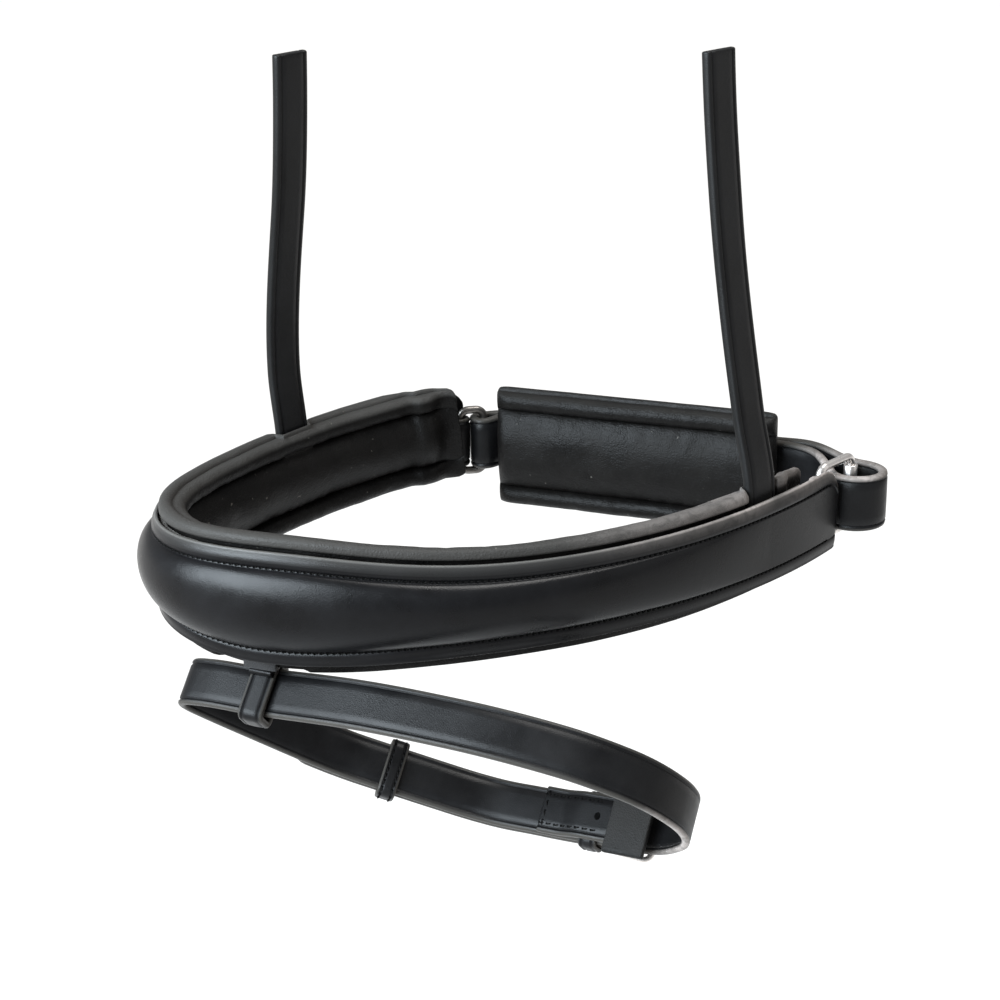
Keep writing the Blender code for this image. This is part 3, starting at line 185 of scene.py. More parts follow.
# Jaw strap frame: u runs from the far ring to the near ring, h outward; the strap climbs a little
JAW_ORIGIN = (-0.0090, 0.0820, -0.0030)
JAW_HEADING = 24.0
JAW_CLIMB = 1.72
JAW_WIDTH = 0.0190
JAW_THICK = 0.0030
JAW_TAIL_END = -0.0300
JAW_TAIL_TURN = -0.0460
JAW_RUN_START = -0.0490
JAW_RUN_END = 0.0500
JAW_DRIFT = (0.0585, -0.0022, -24.0)
JAW_PULL = 35.0
JAW_RING_PASS = -55.0
JAW_RING_SLACK = 0.0004
JAW_LOOP = ((0.0034, -0.0104, 8.0), (0.0114, -0.0023, 90.0), (0.0034, 0.0050, 172.0))
JAW_RETURN = (0.0590, 0.0030, 164.0)
JAW_RETURN_FLAT = 0.0480
JAW_BILLET_FALL = 0.0300
JAW_BILLET_CLIMB = 164.0
JAW_BILLET_JOIN = -0.0150
JAW_TIP = -0.0350
JAW_TIP_TAPER = 0.0090

# Jaw buckle: centre bar place along u, front bar place from it, wire and tongue
JAW_BAR_AT = -0.0030
JAW_BUCKLE_LENGTH = 0.0160
JAW_BUCKLE_RISE = 0.0052
JAW_BUCKLE_WIRE = 0.0015
JAW_TONGUE_WIRE = 0.0010
JAW_SLOT = (0.0045, -0.0012, -16.0)
JAW_CHAPE_THICK = 0.0018
JAW_CHAPE_END = -0.0250
JAW_CHAPE_JOIN = -0.0090

# Jaw cushion with its backing leather and the two sleeves that hold it on the strap
PAD_START = -0.0505
PAD_END = 0.0500
PAD_HEIGHT = 0.0425
PAD_THICK = 0.0086
PAD_ROLL = 0.0068
PAD_ROLL_THICK = 0.0066
PAD_GROOVE_THICK = 0.0030
PAD_RIM_THICK = 0.0024
PAD_CORNER = 0.0022
PAD_SWELL = 0.0050
PAD_BACKING_THICK = 0.0020
PAD_BACKING_INSET = 0.0030
SLEEVE_THICK = 0.0016
SLEEVE_LENGTH = 0.0070
FAR_SLEEVE_AT = -0.0440
NEAR_SLEEVE_AT = 0.0420
JAW_KEEPER_WIDTH = 0.0070
JAW_FIXED_KEEPER_AT = -0.0170
JAW_RUNNER_AT = -0.0285

# Flash tab on the nosepiece and the loop that hangs from it
TAB_AT = 0.0048
TAB_THICK = 0.0016
TAB_WIDTH = 0.0280
TAB_NECK = 0.0110
TAB_TOP = -0.0080
TAB_RIM = 0.0003
HINGE_Z = -0.0226
HINGE_TURN = -3.6
LOOP_WIDTH = 0.0080
LOOP_LEATHER = 0.0020
LOOP_SLACK = 0.0013
LOOP_SIDE_SLACK = 0.0006
LOOP_CORNER = 0.0016
LUG_ROUND = 0.0003
LUG_SINK = 0.0006

# Flash strap frame: origin on the hinge line, a along the strap at the tab, b inward and down
FLASH_TILT = 48.0
FLASH_OUT = 0.0068
FLASH_LOW = 0.0047
FLASH_WIDTH = 0.0150
FLASH_THICK = 0.0024
FLASH_BAR = (0.0980, 0.0665, 174.0)
FLASH_MAIN = (
    (0.0720, 0.0702, 180.0),
    (0.0560, 0.0710, 188.0),
    (0.0420, 0.0668, 204.0),
    (0.0160, 0.0547, 205.5),
    (-0.0100, 0.0320, 228.0),
    (-0.0255, 0.0140, 232.0),
    (-0.0285, 0.0075, 275.0),
    (-0.0200, 0.0020, 345.0),
    (0.0000, 0.0000, 350.0),
    (0.0310, -0.0060, 353.0),
    (0.0630, -0.0065, 3.0),
    (0.0940, -0.0005, 18.0),
    (0.1107, 0.0088, 37.0),
    (0.1236, 0.0278, 70.0),
    (0.1253, 0.0400, 93.0),
    (0.1213, 0.0532, 123.0),
)
FLASH_LEAF_END = 0.0050
FLASH_TAIL_LENGTH = 0.0210
FLASH_TAIL_HOLE_AT = 0.0008
FLASH_TAIL_HOLE = 0.0013
TAIL_STITCH_FROM_MIDDLE = 0.0047
TAIL_STITCH_PITCH = 0.0022
FLASH_BILLET_JOIN = 0.0008
FLASH_BILLET_END = 0.1065
FLASH_TIP_TAPER = 0.0080
FLASH_BUCKLE_LENGTH = 0.0114
FLASH_BUCKLE_RISE = 0.0045
FLASH_BUCKLE_WIRE = 0.0011
FLASH_TONGUE_WIRE = 0.0009
FLASH_SLOT = (0.0040, -0.0010, -14.0)
FLASH_BILLET_CLIMB = 166.0
FLASH_KEEPER_WIDTH = 0.0060
FLASH_FIXED_KEEPER_AT = 0.0036
FLASH_KEEPER_THICK = 0.0012
FLASH_GUARD = (-0.0010, 0.0125)
FLASH_GUARD_WIDTH = 0.0224
FLASH_GUARD_THICK = 0.0024
FLASH_RUNNER_AT = 0.0725

# Straps: rows of points, pressed lines beside the edges, crowned face, waviness and rounded ends
STEP = 0.0014
CREASE_IN = 0.0019
FLASH_CREASE_IN = 0.0017
KEEPER_CREASE_IN = 0.0013
LOOP_CREASE_IN = 0.0014
CREASE_HALF = 0.00050
CREASE_DEEP = 0.00034
STRAP_CROWN = 0.00012
STRAP_WAVE = 0.00012
STRAP_END = 0.0006
STRAP_END_IN = 0.0005
STRAP_LEAST_HALF = 0.0004

# Shared details of straps, keepers and buckles
SLIT_SIDE = 0.0005
TONGUE_SLOT_LENGTH = 0.0120
TONGUE_SLOT_WIDTH = 0.0040
TONGUE_OVERHANG = 0.0030
FRAME_SIDE_CLEARANCE = 0.0006
FRAME_CORNER = 0.0024
KEEPER_THICK = 0.0016
KEEPER_CORNER = 0.0015
KEEPER_SLACK = 0.0004
HOLE_RADIUS = 0.0016
HOLE_PITCH = 0.0190
HOLE_SIDES = 12

# Studio: size and depth of the floor, the world's strength, lights as name, kind, place, size,
# power and colour, and the camera's lens, turn and place
FLOOR_SIZE = 1000.0
FLOOR_Z = -1.6
FLOOR_GREY = 0.93
WORLD_STRENGTH = 0.40
LIGHTS = (("window", "AREA", (-0.160, -1.190, 0.620), (1.30, 0.95), 86.0, (0.82, 0.92, 1.0)),
          ("fill", "AREA", (1.05, 0.55, 0.55), (0.8, 0.8), 1.0, (1.0, 0.99, 0.97)),
          ("roof", "SUN", (0.11, 0.24, 1.0), math.radians(22.0), 2.4, (1.0, 0.985, 0.96)))
CAMERA_LENS = 68.04
CAMERA_SENSOR = 36.0
CAMERA_CLIP = (0.01, 2000.0)
CAMERA_ELEVATION = 23.0
CAMERA_AZIMUTH = 45.0
CAMERA_PLACE = (0.3942, -0.3915, 0.2417)

# Axes of a band round a strap in the strap's frame: X to its left, Y along its width, Z along it
BAND_AXES = Matrix(((0, 0, 1, 0), (1, 0, 0, 0), (0, 1, 0, 0), (0, 0, 0, 1)))


# Lines and curves

def unit(heading):
    """Unit vectors for headings in degrees."""
    turn = np.radians(heading)
    return np.stack([np.cos(turn), np.sin(turn)], -1)


def left_of(way):
    return np.stack([-way[..., 1], way[..., 0]], -1)


class Line:
    """A route in a plane, read by its arc length, that runs on straight past both its ends."""

    def __init__(self, points):
        points = np.asarray(points, float)
        apart = np.hypot(*np.diff(points, axis=0).T) > 1e-7
        self.points = points[np.concatenate([[True], apart])]
        steps = np.hypot(*np.diff(self.points, axis=0).T)
        self.at = np.concatenate([[0.0], np.cumsum(steps)])
        self.length = self.at[-1]
        slopes = np.gradient(self.points, self.at, axis=0)
        self.ways = slopes / np.hypot(*slopes.T)[:, None]

    def way(self, s):
        inside = np.clip(s, 0.0, self.length)
        way = np.stack([np.interp(inside, self.at, self.ways[:, i]) for i in (0, 1)], -1)
        return way / np.hypot(way[..., 0], way[..., 1])[..., None]

    def spot(self, s, left=0.0):
        """Points at these arc lengths, moved sideways to the left."""
        s = np.asarray(s, float)
        inside = np.clip(s, 0.0, self.length)
        point = np.stack([np.interp(inside, self.at, self.points[:, i]) for i in (0, 1)], -1)
        way = self.way(s)
        past = (s - inside)[..., None]
        return point + way * past + left_of(way) * (np.zeros_like(s) + left)[..., None]

    def anchor(self, s, left=0.0, back=False):
        """Place and heading beside the line, for a curve that meets it."""
        way = self.way(s) * (-1 if back else 1)
        x, y = self.spot(s, left)
        return x, y, math.degrees(math.atan2(way[1], way[0]))

    def beside(self, first, last, left):
        """Close points beside the line from one arc length to another."""
        count = max(2, int(abs(last - first) / ROUTE_STEP))
        return self.spot(np.linspace(first, last, count), left)


def runs_line(start, heading, runs):
    """A route made of runs, each bending evenly, with the bends blended into one another."""
    counts = [int(round(length / ROUTE_STEP)) for length, _ in runs]
    bends = [np.full(n, math.radians(turn) / length) for n, (length, turn) in zip(counts, runs)]
    bends = np.concatenate(bends)
    window = int(RUN_BLEND / ROUTE_STEP) | 1
    padded = np.pad(bends, window // 2, mode="edge")
    bends = np.convolve(padded, np.ones(window) / window, mode="valid")
    turns = math.radians(heading) + np.concatenate([[0.0], np.cumsum(bends * ROUTE_STEP)])
    middle = (turns[1:] + turns[:-1]) / 2
    steps = np.stack([np.cos(middle), np.sin(middle)], 1) * ROUTE_STEP
    return np.vstack([[0.0, 0.0], np.cumsum(steps, axis=0)]) + start


def curve(anchors):
    """Close points on a smooth curve through anchors of x, y and heading in degrees."""
    parts = []
    for (x0, y0, from_way), (x1, y1, to_way) in zip(anchors, anchors[1:]):
        start, end = np.array([x0, y0]), np.array([x1, y1])
        chord = math.hypot(*(end - start))
        turn = abs((to_way - from_way + 180.0) % 360.0 - 180.0)
        half = math.radians(max(turn, 0.5)) / 2
        handle = chord * (2 / 3) * math.tan(half / 2) / math.sin(half)
        inner = start + unit(from_way) * handle
        outer = end - unit(to_way) * handle
        t = np.linspace(0.0, 1.0, max(4, int(chord / ROUTE_STEP)))[:, None]
        parts.append((1 - t) ** 3 * start + 3 * (1 - t) ** 2 * t * inner
                     + 3 * (1 - t) * t ** 2 * outer + t ** 3 * end)
    return np.vstack(parts)


def moved(anchors, x, y, heading=0.0):
    """Anchors given from a place and heading, as anchors of the frame around it."""
    way = unit(heading)
    side = left_of(way)
    result = []
    for u, h, turn in anchors:
        point = np.array([x, y]) + way * u + side * h
        result.append((point[0], point[1], turn + heading))
    return result


def fold(radius):
    """Half a turn round a bar: in below it, out above it."""
    return (0.0, -radius, 0.0), (radius, 0.0, 90.0), (0.0, radius, 180.0)


def rounded_box(x0, x1, y0, y1, corner, steps=3):
    """Outline of a box with round corners, anticlockwise."""
    points = []
    for x, y, start in ((x1, y1, 0), (x0, y1, 90), (x0, y0, 180), (x1, y0, 270)):
        middle = np.array([x - math.copysign(corner, x - (x0 + x1) / 2),
                           y - math.copysign(corner, y - (y0 + y1) / 2)])
        for angle in np.linspace(start, start + 90, steps + 1):
            points.append(tuple(middle + unit(angle) * corner))
    return points


# Sections: closed outlines across a piece as offsets (c across, t outward), anticlockwise from +t

def edge_arc(count=7, power=0.75):
    """Rounded edge from face to face, as shares (out, side) of its radius and half thickness."""
    turn = np.linspace(90.0, -90.0, count)
    wave = np.sin(np.radians(turn))
    return np.cos(np.radians(turn)) ** power, np.sign(wave) * np.abs(wave) ** power


def strap_section(half, thick, crease_in=CREASE_IN, both=False, crown=STRAP_CROWN):
    """Section of a strap for arrays of half width and thickness, with pressed lines beside its
    edges. Returns c, t and an edge weight, each stations by points."""
    half = np.atleast_1d(half)[:, None]
    thick = np.zeros_like(half) + np.atleast_1d(thick)[:, None]
    radius = np.minimum(0.42 * thick, 0.5 * half)
    flat = half - radius
    line = np.clip(half - crease_in, 0.0, None)
    groove = CREASE_HALF * np.array([-1.0, -0.5, 0.0, 0.5, 1.0])
    depth = CREASE_DEEP * np.array([0.0, 0.62, 1.0, 0.62, 0.0])
    inner = np.array([-0.66, -0.33, 0.0, 0.33, 0.66])
    room = np.clip(line / (4 * CREASE_HALF), 0.0, 1.0)
    room = np.where(flat > line + CREASE_HALF, room, 0.0)
    face_c = np.hstack([-flat, -line + groove * room, inner * (line - CREASE_HALF) * 0.96,
                        line + groove * room, flat])
    face_d = np.hstack([0 * flat, depth * room, np.zeros((len(half), 5)), depth * room, 0 * flat])
    bulge = crown * (1 - np.clip(face_c / half, -1, 1) ** 2)
    out_share, side_share = edge_arc()
    right_c = flat + radius * out_share[1:-1]
    right_t = thick / 2 * side_share[1:-1]
    back_d = face_d[:, ::-1] if both else 0 * face_d
    c = np.hstack([face_c, right_c, face_c[:, ::-1], -right_c[:, ::-1]])
    t = np.hstack([thick / 2 - face_d + bulge, right_t, -thick / 2 + back_d, right_t[:, ::-1]])
    edge = np.zeros_like(c)
    n, e = face_c.shape[1], right_c.shape[1]
    edge[:, n:n + e] = 1.0
    edge[:, 2 * n + e:] = 1.0
    edge[:, [0, n - 1, n + e, 2 * n + e - 1]] = 0.5
    return c, t, edge


def edge_highlight_share(points, edge, upper, matrix, highlight_places):
    """Share of a pale beige painted highlight on the cut edges near the listed places: the upper
    edges, and the lower ones too where a place says so.
    """
    world = np.asarray(matrix or Matrix())
    places = points @ world[:3, :3].T + world[:3, 3]
    share = np.zeros(len(points))
    for centre, reach, both in highlight_places:
        away = np.linalg.norm(places - np.array(centre), axis=1) / reach
        share = np.maximum(share, np.clip(2.0 - 2.0 * away, 0.0, 1.0) * (upper | both))
    return share * edge ** 2


def ring_faces(rings, around, closed=False):
    """Quads between rings of points that follow one another."""
    faces = []
    for i in range(rings if closed else rings - 1):
        a = i * around
        b = (i + 1) % rings * around
        for j in range(around):
            k = (j + 1) % around
            faces.append((a + j, b + j, b + k, a + k))
    return faces


def mesh_from(name, points, faces):
    """A mesh whose faces look outward."""
    mesh = bpy.data.meshes.new(name)
    mesh.from_pydata([tuple(p) for p in points], [], faces)
    mesh.update()
    if signed_volume(mesh) < 0:
        mesh.flip_normals()
    return mesh


def ribbon(name, line, stations, section, matrix=None, wave=0.0, closed=False, seed=0.0, lean=None,
           painted_highlight=None):
    """Mesh swept along a line. The section is c, t, edge weights, stations by points. Wave is how
    far soft leather strays from its route, lean tilts its rows, and the last argument lists the
    places where its top cut edges are painted pale as a highlight."""
    c, t, edge = section
    count, around = c.shape
    along = np.repeat(stations[:, None], around, 1)
    if lean is not None:
        along = along - lean[:, None] * c
    flat = line.spot(along, t)
    points = np.concatenate([flat, c[..., None]], 2).reshape(-1, 3)
    if wave:
        way = line.way(stations)
        side = np.concatenate([left_of(way), np.zeros((count, 1))], 1)
        for i, s in enumerate(stations):
            for j in range(around):
                v = Vector((s * 38.0 + seed, c[i, j] * 60.0, seed))
                points[i * around + j] += side[i] * noise.noise(v) * wave
    faces = ring_faces(count, around, closed)
    if not closed:
        faces.append(tuple(range(around)))
        faces.append(tuple(range((count - 1) * around, count * around))[::-1])
    mesh = mesh_from(name, points, faces)
    edge, across = edge.reshape(-1), c.reshape(-1)
    highlight = edge_highlight_share(points, edge, across > 0, matrix, HIGHLIGHT_PLACES if painted_highlight is None else painted_highlight)
    for key, values in (("edge", edge), ("highlight", highlight)):
        attribute = mesh.attributes.new(key, "FLOAT", "POINT")
        attribute.data.foreach_set("value", np.asarray(values, np.float32))
    uv = mesh.uv_layers.new(name="route")
    along = np.repeat(stations, around)
    loops = np.empty(len(mesh.loops), np.int32)
    mesh.loops.foreach_get("vertex_index", loops)
    places = np.stack([along[loops] * 10, across[loops] * 10], 1)
    uv.data.foreach_set("uv", places.astype(np.float32).ravel())
    return new_object(name, mesh, matrix)


def signed_volume(mesh):
    mesh.calc_loop_triangles()
    co = np.empty(len(mesh.vertices) * 3, np.float32)
    mesh.vertices.foreach_get("co", co)
    co = co.reshape(-1, 3).astype(float)
    tri = np.empty(len(mesh.loop_triangles) * 3, np.int32)
    mesh.loop_triangles.foreach_get("vertices", tri)
    a, b, d = (co[tri.reshape(-1, 3)[:, i]] for i in range(3))
    return float((a * np.cross(b, d)).sum())


def linked(name, data, matrix=None):
    """An object in the scene with this data."""
    obj = bpy.data.objects.new(name, data)
    bpy.context.scene.collection.objects.link(obj)
    obj.matrix_world = matrix or Matrix()
    return obj


def new_object(name, mesh, matrix=None, sharp=50.0):
    mesh.shade_smooth()
    mesh.set_sharp_from_angle(angle=math.radians(sharp))
    return linked(name, mesh, matrix)


def dress(obj, material, slot, body, *nodes, fill=None):
    """Gives a piece its finish, its body and the nodes that it stands for."""
    kinds = np.zeros(len(obj.data.polygons), np.int32)
    obj.data.polygons.foreach_get("material_index", kinds)
    obj.data.materials.clear()
    obj.data.materials.append(material)
    if material is THREAD:
        obj.data.materials.append(HOLE_SHADE)
        obj.data.polygons.foreach_set("material_index", kinds)
    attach(obj, body)
    if nodes:
        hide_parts(*nodes)
    return obj


def end_ease(stations, first, last, radius):
    """Share that rounds an end off: 0 at the nearer end, 1 past the radius."""
    near = np.clip(np.minimum(stations - first, last - stations) / radius, 0.0, 1.0)
    return np.sqrt(np.clip(1 - (1 - near) ** 2, 0.0, 1.0))


def even_rows(first, last, step=STEP, ends=STRAP_END):
    """Arc lengths from end to end with close rows at both ends."""
    inner = np.linspace(first + ends, last - ends, max(3, int((last - first) / step)))
    return np.concatenate([[first, first + ends * 0.2, first + ends * 0.55], inner,
                           [last - ends * 0.55, last - ends * 0.2, last]])


def strap(name, line, width, thick, height=0.0, matrix=None, half=None, wave=STRAP_WAVE, seed=0.0,
          painted_highlight=None, **looks):
    """A plain strap along a line, with its ends rounded off."""
    stations = even_rows(0.0, line.length)
    wide = np.full_like(stations, width / 2) if half is None else half(stations)
    ease = end_ease(stations, 0.0, line.length, STRAP_END)
    wide = np.maximum(wide - STRAP_END_IN * (1 - ease), STRAP_LEAST_HALF)
    c, t, edge = strap_section(wide, thick * (0.35 + 0.65 * ease), **looks)
    edge = np.maximum(edge, (1 - ease)[:, None])
    return ribbon(name, line, stations, (c + height, t, edge), matrix, wave, seed=seed, painted_highlight=painted_highlight)


# Stitches

# A stitch's rings as shares of its length and radius
STITCH_RINGS = ((-0.5, 0.15), (-0.42, 0.75), (-0.15, 1.0), (0.15, 1.0), (0.42, 0.75), (0.5, 0.15))
STITCH_SIDES = 6
STITCH_SKEW = 0.22
STITCH_SINK = 1.3
PIT_SIDES = 8
# The hole's rim as shares of its radius: reach and rise
PIT_RIM = ((1.0, -0.15), (0.75, 0.10))


def circle(sides):
    turn = 2 * np.pi * np.arange(sides) / sides
    return np.cos(turn), np.sin(turn)


def stitch_shape(length, radius):
    """Points and faces of one stitch: a short rounded bar that dips at both ends."""
    cos, sin = circle(STITCH_SIDES)
    x = np.repeat([x * length for x, _ in STITCH_RINGS], STITCH_SIDES)
    r = np.repeat([r * radius for _, r in STITCH_RINGS], STITCH_SIDES)
    rings = len(STITCH_RINGS)
    sink = (np.abs(x) / (0.5 * length)) ** 3 * radius * STITCH_SINK
    points = np.stack([x, r * np.tile(cos, rings) + x * STITCH_SKEW,
                       r * np.tile(sin, rings) - sink + radius * 0.25], 1)
    faces = ring_faces(rings, STITCH_SIDES)
    faces.append(tuple(range(STITCH_SIDES))[::-1])
    faces.append(tuple(range((rings - 1) * STITCH_SIDES, rings * STITCH_SIDES)))
    return points, faces


def pit_shape(length, pit):
    """Points and faces of the hole past a stitch's end, painted near black as the shade inside it.
    """
    cos, sin = circle(PIT_SIDES)
    past = length * 0.58
    points = []
    for reach, rise in PIT_RIM:
        wide = pit * reach
        points.append(np.stack([past + wide * 0.8 * cos, wide * sin, pit * rise + 0.0 * cos], 1))
    points = np.vstack([*points, [(past, 0.0, -0.1 * pit), (past, 0.0, -0.6 * pit)]])
    tip, under = 2 * PIT_SIDES, 2 * PIT_SIDES + 1
    faces = []
    for k in range(PIT_SIDES):
        n = (k + 1) % PIT_SIDES
        faces += [(k, n, PIT_SIDES + n, PIT_SIDES + k), (PIT_SIDES + k, PIT_SIDES + n, tip),
                  (n, k, under)]
    return points, faces


def stitch_mesh(name, places, length=0.00150, radius=0.00027, matrix=None, pit=0.00042):
    """Rows of stitches with their holes. Places are (point, way, normal) triples."""
    points, faces, kinds, base = [], [], [], 0
    for kind, (local, quads) in enumerate((stitch_shape(length, radius), pit_shape(length, pit))):
        for point, way, normal in places:
            x = np.asarray(way, float) / np.linalg.norm(way)
            z = np.asarray(normal, float)
            z = z - x * (z @ x)
            z = z / np.linalg.norm(z)
            points.append(np.asarray(point) + local @ np.stack([x, np.cross(z, x), z]))
            faces += [tuple(base + corner for corner in quad) for quad in quads]
            base += len(local)
        kinds += [kind] * (len(faces) - len(kinds))
    mesh = mesh_from(name, np.vstack(points), faces)
    mesh.polygons.foreach_set("material_index", np.array(kinds, np.int32))
    return new_object(name, mesh, matrix, sharp=80.0)


def row_places(line, first, last, height, out, pitch, side=1.0):
    """Stitches along a line at a height and offset that may be functions of arc length."""
    places = []
    for s in np.linspace(first, last, max(2, int(round((last - first) / pitch)))):
        point = (*line.spot(s, out(s) if callable(out) else out),
                 height(s) if callable(height) else height)
        way = line.way(s)
        places.append((point, (*way, 0.0), (*left_of(way) * side, 0.0)))
    return places


def upright_places(line, s, low, high, out, pitch, side=1.0):
    """Stitches across a piece at one arc length."""
    heights = np.linspace(low, high, max(2, int(round((high - low) / pitch))))
    x, y = line.spot(s, out)
    normal = left_of(line.way(s)) * side
    return [((x, y, h), (0.0, 0.0, 1.0), (*normal, 0.0)) for h in heights]


# Materials

def tree_of(name, colour, roughness, metallic=0.0):
    material = bpy.data.materials.new(name)
    material.use_nodes = True
    tree = material.node_tree
    shader = tree.nodes["Principled BSDF"]
    shader.inputs["Base Color"].default_value = (*colour, 1.0)
    shader.inputs["Roughness"].default_value = roughness
    shader.inputs["Metallic"].default_value = metallic
    return material, tree, shader


def add_node(tree, kind, **values):
    node = tree.nodes.new(kind)
    for key, value in values.items():
        if key in node.inputs:
            node.inputs[key].default_value = value
        else:
            setattr(node, key, value)
    return node


def ramp(tree, source, low, high, from_low=0.0, from_high=1.0):
    node = add_node(tree, "ShaderNodeMapRange", **{
        "From Min": from_low, "From Max": from_high, "To Min": low, "To Max": high})
    tree.links.new(source, node.inputs["Value"])
    return node.outputs["Result"]


def texture(tree, place, kind="ShaderNodeTexNoise", output="Fac", **values):
    node = add_node(tree, kind, **values)
    tree.links.new(place, node.inputs["Vector"])
    return node.outputs[output]


def bump(tree, height, strength, distance, below=None):
    """Normals raised by a height, over the normals of another bump."""
    node = add_node(tree, "ShaderNodeBump", Strength=strength, Distance=distance)
    tree.links.new(height, node.inputs["Height"])
    if below is not None:
        tree.links.new(below, node.inputs["Normal"])
    return node.outputs["Normal"]


def blend_colour(tree, share, first, second):
    node = add_node(tree, "ShaderNodeMix", data_type="RGBA")
    tree.links.new(share, node.inputs["Factor"])
    for socket, value in (("A", first), ("B", second)):
        target = [i for i in node.inputs if i.name == socket and i.type == "RGBA"][0]
        if isinstance(value, tuple):
            target.default_value = (*value, 1.0)
        else:
            tree.links.new(value, target)
    return [o for o in node.outputs if o.type == "RGBA"][0]


# Pale beige painted on the cut edges near the listed places as a highlight
BEIGE_HIGHLIGHT = (0.27, 0.24, 0.225)
DARK_EDGE = (0.016, 0.015, 0.0135)
LINT = (0.09, 0.085, 0.075)


def leather(name, colour, light, roughness, grain, grain_size, wrinkle, shine,
            edge_colour=DARK_EDGE, flecks=False):
    """Leather: pebbled grain, pores and fine creases, cut edges in the edge colour, which for most
    leathers is paler as a painted highlight, and a patchy pale beige painted highlight on the edges
    near the listed places.
    """
    material, tree, shader = tree_of(name, colour, roughness)
    place = add_node(tree, "ShaderNodeTexCoord").outputs["Object"]
    cloud = texture(tree, place, Scale=55.0, Detail=4.0, Roughness=0.6)
    cells = texture(tree, place, "ShaderNodeTexVoronoi", "Distance", Scale=grain_size,
                    Randomness=1.0, feature="DISTANCE_TO_EDGE")
    pores = texture(tree, place, Scale=grain_size * 2.3, Detail=3.0, Roughness=0.65)
    folds = texture(tree, place, Scale=230.0, Detail=5.0, Roughness=0.62, Distortion=0.8)
    base = blend_colour(tree, ramp(tree, cloud, 0.0, 1.0, 0.35, 0.72), colour, light)
    # Cut edges blend to the edge colour: for the bridle, strap and soft leathers a paler colour, a
    # painted highlight
    edge = add_node(tree, "ShaderNodeAttribute", attribute_name="edge").outputs["Fac"]
    base = blend_colour(tree, ramp(tree, edge, 0.0, 0.85, 0.25, 1.0), base, edge_colour)
    # Patchy pale beige on the edges near the listed places: a painted highlight
    highlight = add_node(tree, "ShaderNodeAttribute", attribute_name="highlight").outputs["Fac"]
    uneven = add_node(tree, "ShaderNodeMath", operation="MULTIPLY")
    tree.links.new(highlight, uneven.inputs[0])
    tree.links.new(ramp(tree, folds, 0.45, 1.0, 0.35, 0.55), uneven.inputs[1])
    base = blend_colour(tree, uneven.outputs["Value"], base, BEIGE_HIGHLIGHT)
    if flecks:
        lint = texture(tree, place, Scale=620.0, Detail=1.0, Roughness=0.5)
        base = blend_colour(tree, ramp(tree, lint, 0.0, 0.8, 0.765, 0.80), base, LINT)
    rough = ramp(tree, cloud, roughness - 0.07, roughness + 0.10, 0.3, 0.75)
    normal = bump(tree, ramp(tree, cells, 0.0, 1.0, 0.0, 0.35), grain, 0.00012)
    normal = bump(tree, pores, grain * 0.8, 0.00008, normal)
    normal = bump(tree, folds, wrinkle, 0.0004, normal)
    tree.links.new(base, shader.inputs["Base Color"])
    tree.links.new(rough, shader.inputs["Roughness"])
    tree.links.new(normal, shader.inputs["Normal"])
    shader.inputs["Specular IOR Level"].default_value = shine
    return material


def metal(name, bright, dark, roughness):
    """Nickel plate with fine scratches, small smudges and faint darker spots."""
    material, tree, shader = tree_of(name, bright, roughness, 1.0)
    place = add_node(tree, "ShaderNodeTexCoord").outputs["Object"]
    smudge = texture(tree, place, Scale=260.0, Detail=5.0, Roughness=0.7)
    scratch = texture(tree, place, Scale=1500.0, Detail=2.0, Distortion=2.5)
    base = blend_colour(tree, ramp(tree, smudge, 0.0, 1.0, 0.45, 0.8), bright, dark)
    tree.links.new(base, shader.inputs["Base Color"])
    rough = ramp(tree, smudge, roughness, roughness + 0.22, 0.3, 0.75)
    tree.links.new(rough, shader.inputs["Roughness"])
    tree.links.new(bump(tree, scratch, 0.12, 0.00005), shader.inputs["Normal"])
    return material


def dull(name, colour, roughness, first, second, share, relief, shine, **grain):
    """A dull surface of two blended colours, for thread, needle holes and felt."""
    material, tree, shader = tree_of(name, colour, roughness)
    place = add_node(tree, "ShaderNodeTexCoord").outputs["Object"]
    spots = texture(tree, place, **grain)
    base = blend_colour(tree, ramp(tree, spots, 0.0, 1.0, *share), first, second)
    tree.links.new(base, shader.inputs["Base Color"])
    if relief:
        tree.links.new(bump(tree, spots, *relief), shader.inputs["Normal"])
    shader.inputs["Specular IOR Level"].default_value = shine
    return material


# Each leather's last colour is that of its cut edges; the bridle, strap and soft leathers have it
# paler, a painted highlight
BRIDLE = leather("bridle_leather", (0.0022, 0.0022, 0.0025), (0.0040, 0.0040, 0.0046), 0.30, 0.14,
                 1500.0, 0.10, 0.165, (0.070, 0.067, 0.063))
STRAP = leather("strap_leather", (0.0026, 0.0026, 0.0029), (0.0056, 0.0056, 0.0060), 0.38, 0.18,
                1700.0, 0.14, 0.145, (0.040, 0.037, 0.033))
SOFT = leather("soft_leather", (0.0019, 0.0017, 0.0016), (0.0047, 0.0042, 0.0038), 0.47, 0.50,
               1100.0, 0.80, 0.11, (0.068, 0.065, 0.061), True)
HANGER = leather("hanger_leather", (0.0026, 0.0026, 0.0029), (0.0060, 0.0060, 0.0064), 0.42, 0.24,
                 1700.0, 0.16, 0.16, (0.005, 0.005, 0.005))
GUARD = leather("guard_leather", (0.0050, 0.0049, 0.0047), (0.0130, 0.0125, 0.0120), 0.62, 0.60,
                1300.0, 0.50, 0.18, (0.003, 0.003, 0.003))
TAB = leather("tab_leather", (0.0050, 0.0050, 0.0052), (0.0400, 0.0400, 0.0410), 0.55, 0.60,
              1500.0, 0.70, 0.20)
NICKEL = metal("nickel_plate", (0.80, 0.77, 0.75), (0.45, 0.42, 0.40), 0.22)
